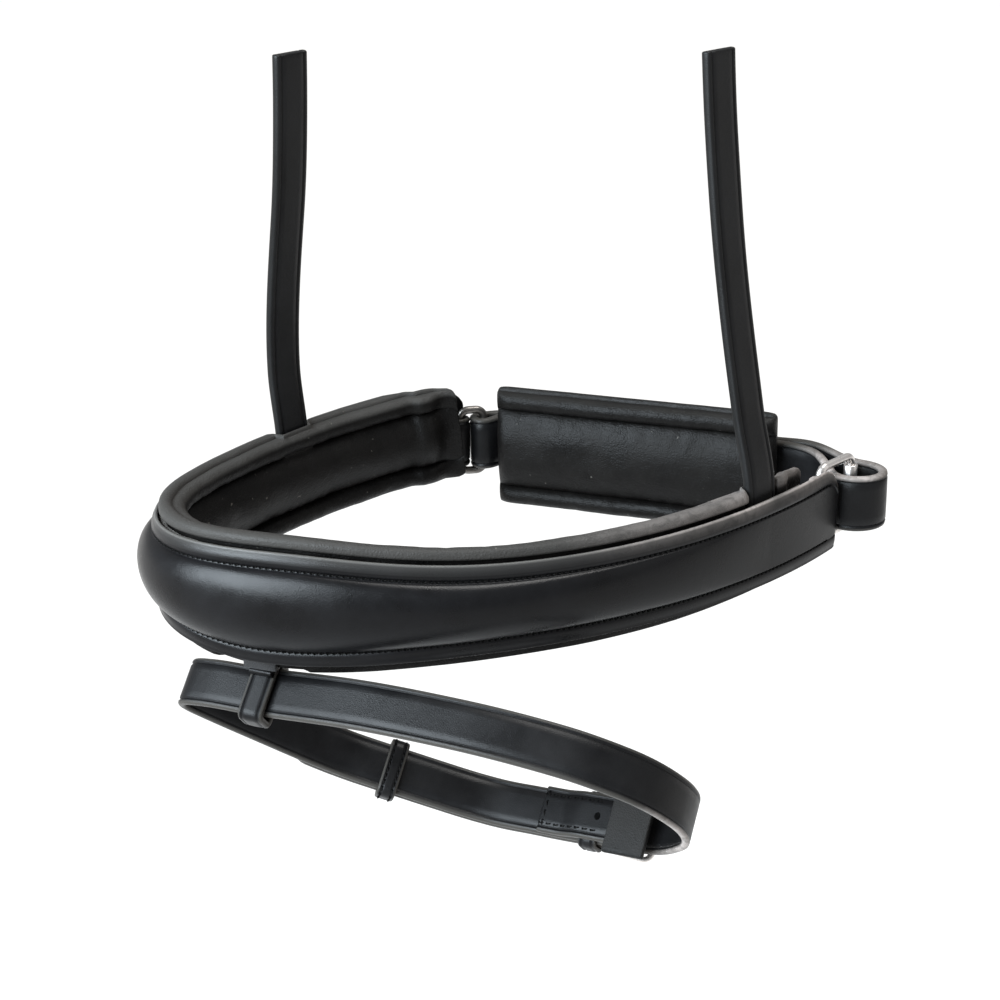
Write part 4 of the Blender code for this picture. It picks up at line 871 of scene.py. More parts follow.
# The far ring's darker nickel is painted shade: it hangs in shadow behind the strap
SHADED_NICKEL = metal("shaded_nickel", (0.16, 0.15, 0.14), (0.07, 0.065, 0.06), 0.30)
THREAD = dull("thread", (0.012, 0.012, 0.012), 0.90, (0.003, 0.003, 0.003), (0.012, 0.0115, 0.011),
              (0.35, 0.7), (0.5, 0.0001), 0.02, Scale=2600.0, Detail=2.0)
# Needle holes painted near black and matte: the shade inside them
HOLE_SHADE = dull("needle_hole_shade", (0.001, 0.001, 0.001), 0.95, (0.0006, 0.0006, 0.0006),
           (0.004, 0.004, 0.004), (0.5, 0.8), None, 0.05, Scale=1800.0, Detail=2.0)
FELT = dull("felt", (0.07, 0.065, 0.06), 0.95, (0.05, 0.045, 0.04), (0.12, 0.11, 0.10), (0.3, 0.7),
            (0.7, 0.0002), 0.5, Scale=1200.0, Detail=6.0, Roughness=0.8, Distortion=1.5)


# Routes that the pieces share

near_half = runs_line(FRONT, FRONT_HEADING, NEAR_RUNS)
far_half = runs_line(FRONT, FRONT_HEADING + 180.0, FAR_RUNS)
NOSE = Line(np.vstack([near_half[::-1], far_half[1:]]))
FRONT_AT = Line(near_half).length
LAYER = -2 * CLEARANCE - BACKING_THICK
TAB_S = FRONT_AT + TAB_AT
# Where the top cut edges are painted pale beige as a highlight: centre, reach, and whether the
# lower edge is painted too
HIGHLIGHT_PLACES = (((*NOSE.spot(0.006, -0.004), 0.010), 0.034, False),
               ((*NOSE.spot(0.070, -0.004), 0.058), 0.062, False),
               ((*NOSE.spot(NEAR_HANGER_AT + 0.010, -0.006), 0.017), 0.017, False))
FAR_HANGER_S = NOSE.length - FAR_HANGER_FROM_END


def fold_radius(bar_wire, thick):
    return bar_wire + BAR_CLEARANCE + thick / 2


RING_BAR_LAYER = -CLEARANCE - TAB_THICK / 2 - fold_radius(WIRE, TAB_THICK)


def nosepiece_height(s):
    """Height of the outer leather, greatest at the middle of the front."""
    from_front = (s - FRONT_AT) / FRONT_RISE_REACH
    return FACE_HEIGHT + FRONT_RISE * np.exp(-from_front ** 2)


def roll_rise(s):
    """How far the roll stands out, full round the front and gone before the ends."""
    past = (np.abs(s - FRONT_AT) - ROLL_FULL_REACH) / (ROLL_REACH - ROLL_FULL_REACH)
    return ROLL_RISE * (1 - np.clip(past, 0.0, 1.0))


def corner_inset(end, corner):
    """How much a round corner takes off an edge at this distance from the end."""
    near = np.clip(end / corner, 0.0, 1.0)
    return corner * (1 - np.sqrt(1 - (1 - near) ** 2))


# Nosepiece leather

def face_edges(s):
    """Lower and upper edge of the outer leather."""
    end = np.minimum(s, NOSE.length - s)
    half = nosepiece_height(s) / 2
    drop = FACE_END_DROP * np.clip(1 - end / FACE_DROP_REACH, 0.0, 1.0)
    low = half + drop - corner_inset(end, FACE_LOW_CORNER) * CORNER_FILL
    high = half - corner_inset(end, FACE_CORNER) * CORNER_FILL
    return -low, high


def nosepiece_leather():
    """The outer leather with its roll, grooves and flanges, and the stitches in both grooves."""
    stations = even_rows(0.0, NOSE.length, FACE_STEP)
    low, high = (edge[:, None] for edge in face_edges(stations))
    ease = end_ease(stations, 0.0, NOSE.length, FACE_END)[:, None]
    groove = GROOVE_HALF * np.array([-1.0, -0.5, 0.0, 0.5, 1.0])
    deep = 0.0 * low - GROOVE_DEEP * np.array([0.0, 0.65, 1.0, 0.65, 0.0])
    roll = np.sin(np.radians(np.linspace(-90.0, 90.0, 31)))[1:-1]
    rise = roll_rise(stations)[:, None] * (1 - roll ** 2) ** 0.6
    half = (high - low) / 2 - FLANGE - GROOVE_HALF
    rows = np.array(FLANGE_ROWS)
    rim = rows[0]
    face_c = np.hstack([low + rows, low + FLANGE + groove, (low + high) / 2 + half * roll,
                        high - FLANGE + groove, high - rows[::-1]])
    face_t = np.hstack([-ease * LOW_FLANGE_FALL, deep, rise, deep, -ease * HIGH_FLANGE_FALL])
    flat = np.zeros((len(stations), len(rows) + len(groove)))
    back_t = np.hstack([flat, 0.98 * rise, flat]) + 0.0001
    middle = FACE_THICK / 2
    thick = middle * (0.4 + 0.6 * ease)
    out_share, side_share = (share[1:-1] for share in edge_arc())
    soft = HIGH_EDGE_SOFT * ease
    right_t = middle - soft + (thick - soft) * side_share
    left_t = middle + thick * side_share[::-1] - LOW_EDGE_SOFT * ease
    c = np.hstack([face_c, high - rim + rim * out_share, face_c[:, ::-1],
                   low + rim - rim * out_share[::-1]])
    t = np.hstack([middle + thick + face_t, right_t, middle - thick + back_t[:, ::-1], left_t])
    n, e = face_c.shape[1], len(out_share)
    weight = np.zeros(2 * (n + e))
    # The flanges and lower edge blend toward the paler edge colour: a painted highlight, strongest
    # on the top flange
    weight[0] = LOW_FLANGE_HIGHLIGHT
    weight[n - len(rows):n] = HIGH_FLANGE_HIGHLIGHT
    weight[n:n + e] = 1.0
    weight[2 * n + e:] = LOW_EDGE_HIGHLIGHT
    edge = np.maximum(weight, 0.8 * (1 - ease))
    obj = ribbon("nosepiece_outer", NOSE, stations, (c, t, edge), wave=0.00005, seed=3.1)
    dress(obj, BRIDLE, "bridle_leather", "noseband", "nosepiece_leather")
    places = []
    for height in (lambda s: face_edges(s)[1] - FLANGE, lambda s: face_edges(s)[0] + FLANGE):
        places += row_places(NOSE, NOSE_STITCH_END, NOSE.length - NOSE_STITCH_END, height,
                             FACE_THICK - 0.00020, NOSE_STITCH_PITCH)
    obj = stitch_mesh("nosepiece_stitches", places, length=0.00100, radius=0.00022, pit=0.00068)
    dress(obj, THREAD, "bridle_leather", "noseband")


# Cushions

def cushion_profile(x, total, roll, roll_thick, groove_thick, panel_thick, rim_thick):
    """Thickness of a cushion at x from one long edge: a roll, a pinched seam, a crowned panel."""
    near = np.minimum(x, total - x)
    ring = np.clip(near / roll, 0.0, 1.0)
    seam = groove_thick + 0.22 * (roll_thick - groove_thick)
    round_off = np.clip(1 - (2 * ring - 1) ** 2, 0.0, 1.0)
    bulge = np.where(ring < 0.5, rim_thick, seam)
    bulge = bulge + (roll_thick - bulge) * round_off ** np.where(ring < 0.5, 0.5, 0.62)
    inside = np.clip((near - roll) / min(PANEL_RISE, total / 2 - roll), 0.0, 1.0)
    panel = seam + (panel_thick - seam) * np.sin(inside * math.pi / 2) ** 0.80
    pinch = 0.00050 * np.exp(-((near - roll) / 0.00050) ** 2)
    return np.where(near < roll, bulge, panel) - pinch


def wrinkle(s, x, total, roll, strength, seed):
    """Gathers that run from the seams and soft dents between them, as a loss of thickness."""
    near = min(x, total - x)
    gather = noise.noise(Vector((s * 330.0 + seed, near * 90.0, seed)))
    gather *= math.exp(-abs(near - roll) / 0.0032)
    slant = noise.noise(Vector((s * 120.0 + x * 95.0, x * 40.0 + seed, 7.3)))
    soft = noise.noise(Vector((s * 60.0, x * 75.0, seed + 4.0)))
    fine = noise.noise(Vector((s * 210.0 + x * 150.0, x * 160.0, seed + 9.0)))
    crease = noise.noise(Vector((s * 75.0 + x * 30.0, x * 190.0 + seed, 3.1)))
    crease = math.exp(-(crease / 0.05) ** 2) * max(0.0, soft + 0.15)
    return strength * (0.00050 * gather + 0.00045 * max(0.0, slant) ** 1.5 + 0.00045 * soft
                       + 0.00014 * fine + 0.00030 * crease)


def cushion(name, line, stations, low, high, outer, sizes, end_share, matrix=None, strength=1.0,
            seed=0.0, lean=None, recess=lambda s, height: 0.0 * height, lip=None, rim_highlight=0.62):
    """A padded piece along a line between heights low and high. Outer is the offset of its flat
    side, end_share scales the padding toward its ends, recess is the room in its back."""
    roll = sizes[0]
    ring = (1 - np.cos(np.linspace(0, np.pi, ROLL_POINTS))) / 2
    panel = (1 - np.cos(np.linspace(0, np.pi, PANEL_POINTS))) / 2
    arc = np.radians(CUSHION_EDGE_TURNS)
    rows = []
    for i, s in enumerate(stations):
        bottom, top, share = low[i], high[i], end_share[i]
        total = top - bottom
        x = np.concatenate([ring * roll, roll + (total - 2 * roll) * panel[1:-1],
                            total - (ring * roll)[::-1]])
        thick = FLAT_PAD + (cushion_profile(x, total, *sizes) - FLAT_PAD) * share
        loss = np.array([wrinkle(s, v, total, roll, strength, seed) for v in x])
        loss = loss * (0.25 + 0.75 * share)
        height = np.clip(bottom + x, bottom + CUSHION_EDGE_IN, top - CUSHION_EDGE_IN)
        inner = outer[i] - np.maximum(thick - loss, recess(s, height) + LEAST_PAD)
        back_c = np.concatenate([top - LIP_ROWS, np.linspace(top - BACK_FROM_TOP,
                                                             bottom + BACK_FROM_LOW, BACK_POINTS)])
        back_t = outer[i] - recess(s, back_c)
        if lip is not None:
            over = np.clip((back_c - (top - LIP_HEIGHT)) / LIP_EASE, 0.0, 1.0)
            back_t = back_t + lip[i] * over ** 0.5
        rise = CUSHION_EDGE_RISE + CUSHION_EDGE_SWELL * share
        upper_c = top - CUSHION_EDGE_IN + rise * np.sin(arc)
        upper_t = (inner[-1] + back_t[0]) / 2 + (back_t[0] - inner[-1]) / 2 * np.cos(arc)
        lower_c = bottom + CUSHION_EDGE_IN - min(rise, CUSHION_LOW_RISE) * np.sin(arc[::-1])
        lower_t = (inner[0] + back_t[-1]) / 2 + (back_t[-1] - inner[0]) / 2 * np.cos(arc[::-1])
        c = np.concatenate([height, upper_c, back_c, lower_c])
        t = np.concatenate([inner, upper_t, back_t, lower_t])
        # The top rim blends toward the paler edge colour: a painted highlight from above
        painted_highlight = rim_highlight * np.clip((c - top + RIM_HIGHLIGHT_FROM) / RIM_HIGHLIGHT_EASE, 0.0, 1.0)
        rows.append((c, t, painted_highlight))
    return ribbon(name, line, stations, np.array(rows).transpose(1, 0, 2), matrix, lean=lean)


def lining_recess(s, height):
    """Depth of the rooms in the lining's back for the hangers and the tab."""
    depth = 0.0 * height
    hanger_room = (HANGER_WIDTH / 2, HANGER_THICK, HANGER_TAIL, 1.0)
    for at, half, thick, low, high in ((NEAR_HANGER_AT, *hanger_room), (FAR_HANGER_S, *hanger_room),
                                       (TAB_S, TAB_WIDTH / 2, TAB_THICK, -1.0, TAB_TOP)):
        away = np.clip((abs(s - at) - half - CLEARANCE) / ROOM_SIDE_EASE, 0.0, 1.0)
        over, under = (np.clip(past / ROOM_END_EASE + 1.4, 0, 1)
                       for past in (height - low, high - height))
        depth = np.maximum(depth, (thick + CLEARANCE) * (1 - away) * over * under)
    return depth


def lining_outer(end, first):
    """Offset of the lining's outer side, which steps over the chape and lifts over its fold."""
    over_chape = LAYER - TAB_THICK - CLEARANCE
    over_fold = RING_BAR_LAYER - fold_radius(WIRE, TAB_THICK) - TAB_THICK / 2 - CLEARANCE
    fold_end = RING_BAR_FROM_END + LINING_PAST_FOLD
    join = RING_CHAPE_JOIN + LINING_PAST_JOIN
    chape_end = RING_CHAPE_INNER_END + LINING_PAST_CHAPE
    return np.interp(end, (fold_end, join, chape_end, chape_end + STEP_OVER_CHAPE),
                     (over_fold if first < join else over_chape, over_chape, over_chape, LAYER))


def nosepiece_lining():
    """The padded lining, its lip over the leather's top edge, and its stitches at both ends."""
    last = NOSE.length - FAR_LINING_END
    stations = even_rows(NEAR_LINING_END, last, LINING_STEP, CUSHION_END)
    near_part = stations < NOSE.length / 2
    from_far = NOSE.length - stations
    end = np.minimum(stations, from_far)
    inside = end - np.where(near_part, NEAR_LINING_END, FAR_LINING_END)
    body = nosepiece_height(stations) / 2
    trim = corner_inset(inside, LINING_CORNER) * CORNER_FILL
    lift = FAR_LINING_LIFT * np.clip(1 - from_far / FAR_LINING_LIFT_REACH, 0.0, 1.0)
    lean = FAR_LINING_LEAN * np.clip(1 - from_far / FAR_LINING_LEAN_REACH, 0.0, 1.0)
    low = lift - body - LINING_LOW + trim
    high = lift + body + LINING_TOP - trim
    swell = np.clip((inside - 0.5 * LINING_FLAP) / (LINING_SWELL + 0.6 * LINING_FLAP), 0.0, 1.0)
    swell = 0.22 + 0.78 * swell * swell * (3 - 2 * swell)
    free = np.clip((inside - LIP_START) / LIP_START_EASE, 0.0, 1.0)
    for at in (NEAR_HANGER_AT, FAR_HANGER_S):
        past = np.abs(stations - at) - HANGER_WIDTH / 2 - LIP_PAST_HANGER
        free = free * np.clip(past / LIP_HANGER_EASE, 0.0, 1.0)
    tip = end_ease(stations, NEAR_LINING_END, last, FACE_END)
    outer = np.where(near_part, lining_outer(end, NEAR_LINING_END),
                     lining_outer(end, FAR_LINING_END))
    sizes = (LINING_ROLL, LINING_ROLL_THICK, LINING_GROOVE_THICK, LINING_PANEL_THICK,
             LINING_RIM_THICK)
    obj = cushion("nosepiece_cushion", NOSE, stations, low, high, outer, sizes, swell * tip,
                  strength=1.35, seed=2.0, lean=lean / (body + LINING_TOP), recess=lining_recess,
                  lip=LIP_RISE * free)
    dress(obj, SOFT, "soft_leather", "noseband", "nosepiece_lining", fill=0.7)
    places = []
    for s, first, row in ((last - LINING_FLAP, FAR_LINING_END, -20),
                          (NEAR_LINING_END + LINING_FLAP, NEAR_LINING_END, 20)):
        inner = lining_outer(first + LINING_FLAP, first) - FLAT_PAD
        places += upright_places(NOSE, s, low[row] + LINING_STITCH_IN, high[row] - LINING_STITCH_IN,
                                 inner, LINING_STITCH_PITCH, -1.0)
    dress(stitch_mesh("lining_stitches", places), THREAD, "soft_leather", "noseband")


# Hangers

def hanger(node, at, route):
    """A hanger strap, from its sewn end behind the leather up to its cut end."""
    x, y = NOSE.spot(at)
    out_x, out_y = left_of(NOSE.way(at))
    matrix = Matrix(((out_x, 0, out_y, x), (out_y, 0, -out_x, y), (0, 1, 0, 0), (0, 0, 0, 1)))
    sewn = LAYER - HANGER_THICK / 2
    line = Line(curve(((sewn, HANGER_TAIL, 90.0), (sewn, HANGER_FREE, 90.0), *route)))
    obj = strap(node + "_strap", line, HANGER_WIDTH, HANGER_THICK, matrix=matrix, both=True,
                seed=1.7, painted_highlight=())
    dress(obj, HANGER, "bridle_leather", "noseband", node)


# Flash tab, chapes and rings

def flash_tab():
    """The tab behind the nosepiece: a sheet that follows it, narrow at the hinge and wide above."""
    across = np.linspace(-1.0, 1.0, 41)
    rows = (HINGE_Z + CLEARANCE, HINGE_Z + 0.0025, -0.0150, TAB_TOP)
    widths = (TAB_NECK / 2, TAB_NECK / 2, TAB_WIDTH / 2, TAB_WIDTH / 2)
    heights = np.linspace(rows[0], TAB_TOP, 25)
    rim = TAB_RIM * np.maximum(np.abs(across) - 0.96, 0.0) / 0.04
    points = []
    for z in heights:
        s = TAB_S + across * np.interp(z, rows, widths)
        sheets = [NOSE.spot(s, LAYER - rim), NOSE.spot(s, LAYER - TAB_THICK + rim)[::-1]]
        points += [(x, y, z) for x, y in np.vstack(sheets)]
    around = 2 * len(across)
    faces = ring_faces(len(heights), around)
    top = around * (len(heights) - 1)
    for i in range(len(across) - 1):
        quad = (i, i + 1, around - 2 - i, around - 1 - i)
        faces += [quad, tuple(top + corner for corner in quad[::-1])]
    obj = new_object("flash_tab_leather", mesh_from("flash_tab_leather", points, faces))
    dress(obj, TAB, "bridle_leather", "noseband", "flash_tab")


def ring_bar(near_end):
    """Place of the bar that the chape holds."""
    s = RING_BAR_FROM_END if near_end else NOSE.length - RING_BAR_FROM_END
    return NOSE.spot(s, RING_BAR_LAYER)


def ring_chape(node, near_end, z):
    """Leather folded round a ring's bar and sewn on both sides of the nosepiece's end."""
    outer = -CLEARANCE - TAB_THICK / 2
    inner = LAYER - TAB_THICK / 2
    radius = outer - RING_BAR_LAYER
    bend = RING_BAR_FROM_END - radius - (0.0 if near_end else FAR_FOLD_SLACK)
    flat = curve(((RING_CHAPE_OUTER_END, outer, 180.0), (RING_BAR_FROM_END, outer, 180.0),
                  (bend, RING_BAR_LAYER, 270.0),
                  (RING_BAR_FROM_END, RING_BAR_LAYER - radius, 360.0),
                  (RING_CHAPE_JOIN - 0.001, inner, 360.0), (RING_CHAPE_INNER_END, inner, 360.0)))
    along = flat[:, 0] if near_end else NOSE.length - flat[:, 0]
    line = Line(NOSE.spot(along, flat[:, 1]))
    obj = strap(node + "_leather", line, RING_CHAPE_WIDTH, TAB_THICK, height=z, wave=0.0)
    dress(obj, STRAP, "bridle_leather", "noseband", node)


def wire_object(name, points, radius, closed, matrix, **settings):
    """A round wire along points, or what other curve settings make of them."""
    data = bpy.data.curves.new(name, "CURVE")
    settings = {"dimensions": "3D", "bevel_depth": radius, "bevel_resolution": 6,
                "use_fill_caps": True, **settings}
    for key, value in settings.items():
        setattr(data, key, value)
    spline = data.splines.new("POLY")
    spline.points.add(len(points) - 1)
    for point, place in zip(spline.points, points):
        point.co = (*place, 1.0)
    spline.use_cyclic_u = closed
    made = linked(name + "_line", data)
    mesh = baked(made)
    bpy.data.objects.remove(made)
    mesh.name = name
    return new_object(name, mesh, matrix)


def baked(obj):
    """An object's mesh as it stands, with its modifiers or its wire's thickness."""
    return bpy.data.meshes.new_from_object(obj.evaluated_get(bpy.context.evaluated_depsgraph_get()))


def roller_object(name, inner, length, matrix):
    """A turned tube with softened rims and a rolled seam."""
    outer, half, soft = inner + ROLLER_WALL, length / 2, ROLLER_RIM
    profile = ((inner, -half + soft), (inner + soft, -half), (outer - soft, -half),
               (outer, -half + soft), (outer, 0.0), (outer, half - soft), (outer - soft, half),
               (inner + soft, half), (inner, half - soft))
    points = []
    for k, (cos, sin) in enumerate(zip(*circle(ROLLER_SIDES))):
        dent = ROLLER_SEAM if k == 5 else 0.0
        for r, z in profile:
            reach = r - dent if r > inner + soft * 1.5 else r
            points.append((reach * cos, reach * sin, z))
    mesh = mesh_from(name, points, ring_faces(ROLLER_SIDES, len(profile), closed=True))
    return new_object(name, mesh, matrix, sharp=60.0)


def frame_at(x, y, heading, z=0.0):
    return Matrix.Translation((x, y, z)) @ Matrix.Rotation(math.radians(heading), 4, "Z")


def rings():
    """Both rings with their chapes, and the roller on the near ring's outer bar."""
    for node, near_end, z, length, inside, heading in (
            ("near_ring", True, NEAR_RING_Z, NEAR_RING_LENGTH, NEAR_RING_INSIDE, NEAR_RING_HEADING),
            ("far_ring", False, FAR_RING_Z, FAR_RING_LENGTH, FAR_RING_INSIDE, FAR_RING_HEADING)):
        matrix = frame_at(*ring_bar(near_end), heading, z)
        half = inside / 2 + WIRE
        box = rounded_box(0.0, length, -half, half, RING_CORNER, steps=8)
        points = [(along, 0.0, up) for along, up in box]
        obj = wire_object(node + "_wire", points, WIRE, True, matrix)
        # The far ring takes the darker nickel, painted shade
        finish, body = (NICKEL, "near_ring") if near_end else (SHADED_NICKEL, "noseband")
        dress(obj, finish, "nickel", body, node)
        ring_chape(node + "_chape", near_end, z)
        if near_end:
            straight = inside + 2 * (WIRE - RING_CORNER)
            obj = roller_object("near_ring_tube", WIRE + BAR_CLEARANCE, straight - CLEARANCE,
                                matrix @ Matrix.Translation((length, 0.0, 0.0)))
            dress(obj, NICKEL, "nickel", "near_ring_roller", "near_ring_roller")


# Buckles

def buckle(prefix, matrix, length, rise, bar_wire, tongue_wire, width, roller, bodies):
    """Frame, roller and tongue of a buckle whose rear bar is the origin of the matrix."""
    frame_body, tongue_body, roller_body = bodies
    slope = math.atan2(rise, length)
    reach = math.hypot(length, rise)
    half = width / 2 + FRAME_SIDE_CLEARANCE + bar_wire
    points = [(x * math.cos(slope), x * math.sin(slope), z)
              for x, z in rounded_box(0.0, reach, -half, half, FRAME_CORNER, steps=8)]
    obj = wire_object(prefix + "_frame_wire", points, bar_wire, True, matrix)
    dress(obj, NICKEL, "nickel", frame_body, prefix + "_frame")
    front = bar_wire
    if roller:
        front = bar_wire + BAR_CLEARANCE + ROLLER_WALL
        obj = roller_object(prefix + "_tube", bar_wire + BAR_CLEARANCE,
                            2 * (half - FRAME_CORNER) - CLEARANCE,
                            matrix @ Matrix.Translation((length, rise, 0.0)))
        dress(obj, NICKEL, "nickel", roller_body, prefix + "_roller")
    hook = bar_wire + BAR_CLEARANCE + tongue_wire
    over = front + BAR_CLEARANCE + tongue_wire
    shaft = slope - math.asin((hook - over) / reach)
    turns = np.radians(np.linspace(-50.0, math.degrees(shaft) - 270.0, 24))
    points = [(hook * math.cos(turn), hook * math.sin(turn), 0.0) for turn in turns]
    start, way = Vector(points[-1]), Vector((math.cos(shaft), math.sin(shaft), 0.0))
    points += [tuple(start + way * past) for past in (reach * 0.5, reach, reach + TONGUE_OVERHANG)]
    obj = wire_object(prefix + "_tongue_wire", points, tongue_wire, False, matrix)
    dress(obj, NICKEL, "nickel", tongue_body, prefix + "_tongue")


def fold_reach(bar_wire, tongue_wire, thick):
    """How far the folded leather or the tongue's hook reaches from the bar, whichever is more."""
    return bar_wire + BAR_CLEARANCE + max(thick, 2 * tongue_wire)


def billet_over(bar_wire, tongue_wire, fold_thick, thick):
    """Height of the billet's middle over the rear bar."""
    return fold_reach(bar_wire, tongue_wire, fold_thick) + CLEARANCE * 1.2 + thick / 2


def tip_half(half, end, taper):
    def wide(s):
        near = np.clip((end - s) / taper, 0.005, 1.0)
        return half * (0.06 + 0.94 * np.sqrt(1 - (1 - near) ** 2))
    return wide


def loop_band(name, line, rows, thick, length, matrix, **looks):
    """A closed band of leather along a line, with pressed lines outside along both edges."""
    stations = np.linspace(0.0, line.length, rows)[:-1]
    c, t, edge = strap_section(np.full(len(stations), length / 2), thick, **looks)
    return ribbon(name, line, stations, (c, -t, edge), matrix, closed=True)


def box_line(*box):
    """A closed route round a box with round corners."""
    path = rounded_box(*box, steps=6)
    return Line(path + [path[0]])


def keeper_line(low, high, width, thick):
    """Route of a keeper's middle round a strap."""
    gap, half = KEEPER_SLACK + thick / 2, width / 2
    return box_line(low - gap, high + gap, -half - gap, half + gap, KEEPER_CORNER + thick / 2)


def band(name, low, high, width, thick, length, matrix):
    """A leather keeper round a strap."""
    line = keeper_line(low, high, width, thick)
    return loop_band(name, line, 90, thick, length, matrix, crease_in=KEEPER_CREASE_IN,
                     crown=0.0001)


def band_stitches(name, low, high, width, thick, matrix, body, offsets, pitch=0.0019):
    """Rows of stitches round a keeper, at offsets from its middle along the strap."""
    line = keeper_line(low, high, width, thick)
    last = line.length * (1 - 1 / round(line.length / pitch))
    places = []
    for offset in offsets:
        places += row_places(line, 0.0, last, offset, -thick / 2 - 0.00008, pitch, -1.0)
    obj = stitch_mesh(name, places, length=0.0013, radius=0.00024, matrix=matrix, pit=0.00040)
    dress(obj, THREAD, "bridle_leather", body)


def across_strap(line, s, z=0.0):
    """Frame of a keeper round a strap."""
    return frame_at(*line.anchor(s), z) @ BAND_AXES


# Jaw strap

JAW = (Matrix.Translation(JAW_ORIGIN) @ Matrix.Rotation(math.radians(JAW_HEADING), 4, "Z")
       @ Matrix.Rotation(math.radians(-JAW_CLIMB), 4, "Y"))


def to_jaw(point):
    """A ground point in the jaw strap's frame."""
    away = np.asarray(point) - np.array(JAW_ORIGIN[:2])
    way = unit(JAW_HEADING)
    return np.array([away @ way, away @ left_of(way)])


def jaw_bar_height():
    """Height of the buckle's rear bar over the inner run's middle: its chape lies on that run."""
    over_run = JAW_THICK / 2 + CLEARANCE + JAW_CHAPE_THICK / 2
    return over_run + fold_radius(JAW_BUCKLE_WIRE, JAW_CHAPE_THICK)


def jaw_billet_height():
    """Height of the billet's middle where it lies on both leaves of the chape."""
    return JAW_THICK + 3 * CLEARANCE + 2 * JAW_CHAPE_THICK + CLEARANCE / 2


def jaw_line():
    """Route of the jaw strap: sewn end, far ring, inner run, near ring, return run, buckle, tip."""
    layer = JAW_THICK + CLEARANCE
    bar = to_jaw(ring_bar(False) + unit(FAR_RING_HEADING) * FAR_RING_LENGTH)
    wrap = fold_radius(WIRE, JAW_THICK) + JAW_RING_SLACK
    around = moved(((0.0, wrap, 180.0), (-wrap, 0.0, 270.0), (0.0, -wrap, 360.0)), *bar, JAW_PULL)
    near_front = ring_bar(True)
    near_reach = unit(NEAR_RING_HEADING) * NEAR_RING_LENGTH
    roller, middle = to_jaw(near_front + near_reach), to_jaw(near_front + near_reach / 2)
    loop = [(roller[0] + x, roller[1] + y, heading) for x, y, heading in JAW_LOOP]
    over = billet_over(JAW_BUCKLE_WIRE, JAW_TONGUE_WIRE, JAW_CHAPE_THICK, JAW_THICK)
    under = JAW_BUCKLE_WIRE + BAR_CLEARANCE + ROLLER_WALL + BEND_CLEARANCE + JAW_THICK / 2
    bar_h, billet_h = jaw_bar_height(), jaw_billet_height()
    front = moved(((0.0, under, 0.0),), JAW_BAR_AT + JAW_BUCKLE_LENGTH, bar_h + JAW_BUCKLE_RISE,
                  JAW_BILLET_CLIMB)
    return Line(curve((
        (JAW_TAIL_END, layer, 180.0), (JAW_TAIL_TURN, layer, 180.0), *around,
        (JAW_RUN_START, 0.0, 0.0), (JAW_RUN_END, 0.0, 0.0), JAW_DRIFT, (*middle, JAW_RING_PASS),
        *loop, JAW_RETURN, (JAW_RETURN_FLAT, layer, 180.0), (JAW_BILLET_FALL, layer, 180.0),
        *front, (JAW_BAR_AT, bar_h + over, 178.0), (JAW_BILLET_JOIN, billet_h, 180.0),
        (JAW_TIP, billet_h, 180.0))))


def jaw_strap_and_buckle():
    """The jaw strap with its slot, its buckle, and the chape that holds the buckle."""
    line = jaw_line()
    wide = tip_half(JAW_WIDTH / 2, line.length, JAW_TIP_TAPER)
    obj = strap("jaw_strap_leather", line, JAW_WIDTH, JAW_THICK, matrix=JAW, half=wide, both=True,
                wave=0.00015, seed=5.0)
    bar_h = jaw_bar_height()
    over = billet_over(JAW_BUCKLE_WIRE, JAW_TONGUE_WIRE, JAW_CHAPE_THICK, JAW_THICK)
    x, drop, slope = JAW_SLOT
    carve(obj, slot_cutter("jaw_billet_slot", JAW, JAW_BAR_AT + x, bar_h + over + drop, slope,
                           JAW_THICK))
    dress(obj, STRAP, "bridle_leather", "noseband", "jaw_strap")
    place = JAW @ Matrix.Translation((JAW_BAR_AT, bar_h, 0.0))
    buckle("jaw_buckle", place, JAW_BUCKLE_LENGTH, JAW_BUCKLE_RISE, JAW_BUCKLE_WIRE,
           JAW_TONGUE_WIRE, JAW_WIDTH, True,
           ("noseband", "jaw_buckle_tongue", "jaw_buckle_roller"))
    radius = fold_radius(JAW_BUCKLE_WIRE, JAW_CHAPE_THICK)
    upper = JAW_CHAPE_THICK + CLEARANCE - radius
    line = Line(curve(((JAW_CHAPE_END, -radius, 0.0), *fold(radius), (JAW_CHAPE_JOIN, upper, 180.0),
                       (JAW_CHAPE_END + 0.002, upper, 180.0))))
    obj = strap("jaw_chape_leather", line, JAW_WIDTH, JAW_CHAPE_THICK, matrix=place, wave=0.0)
    carve(obj, slit_cutter("jaw_chape_slit", place, JAW_BUCKLE_WIRE, JAW_TONGUE_WIRE,
                           JAW_CHAPE_THICK))
    dress(obj, STRAP, "bridle_leather", "noseband", "jaw_buckle_chape")


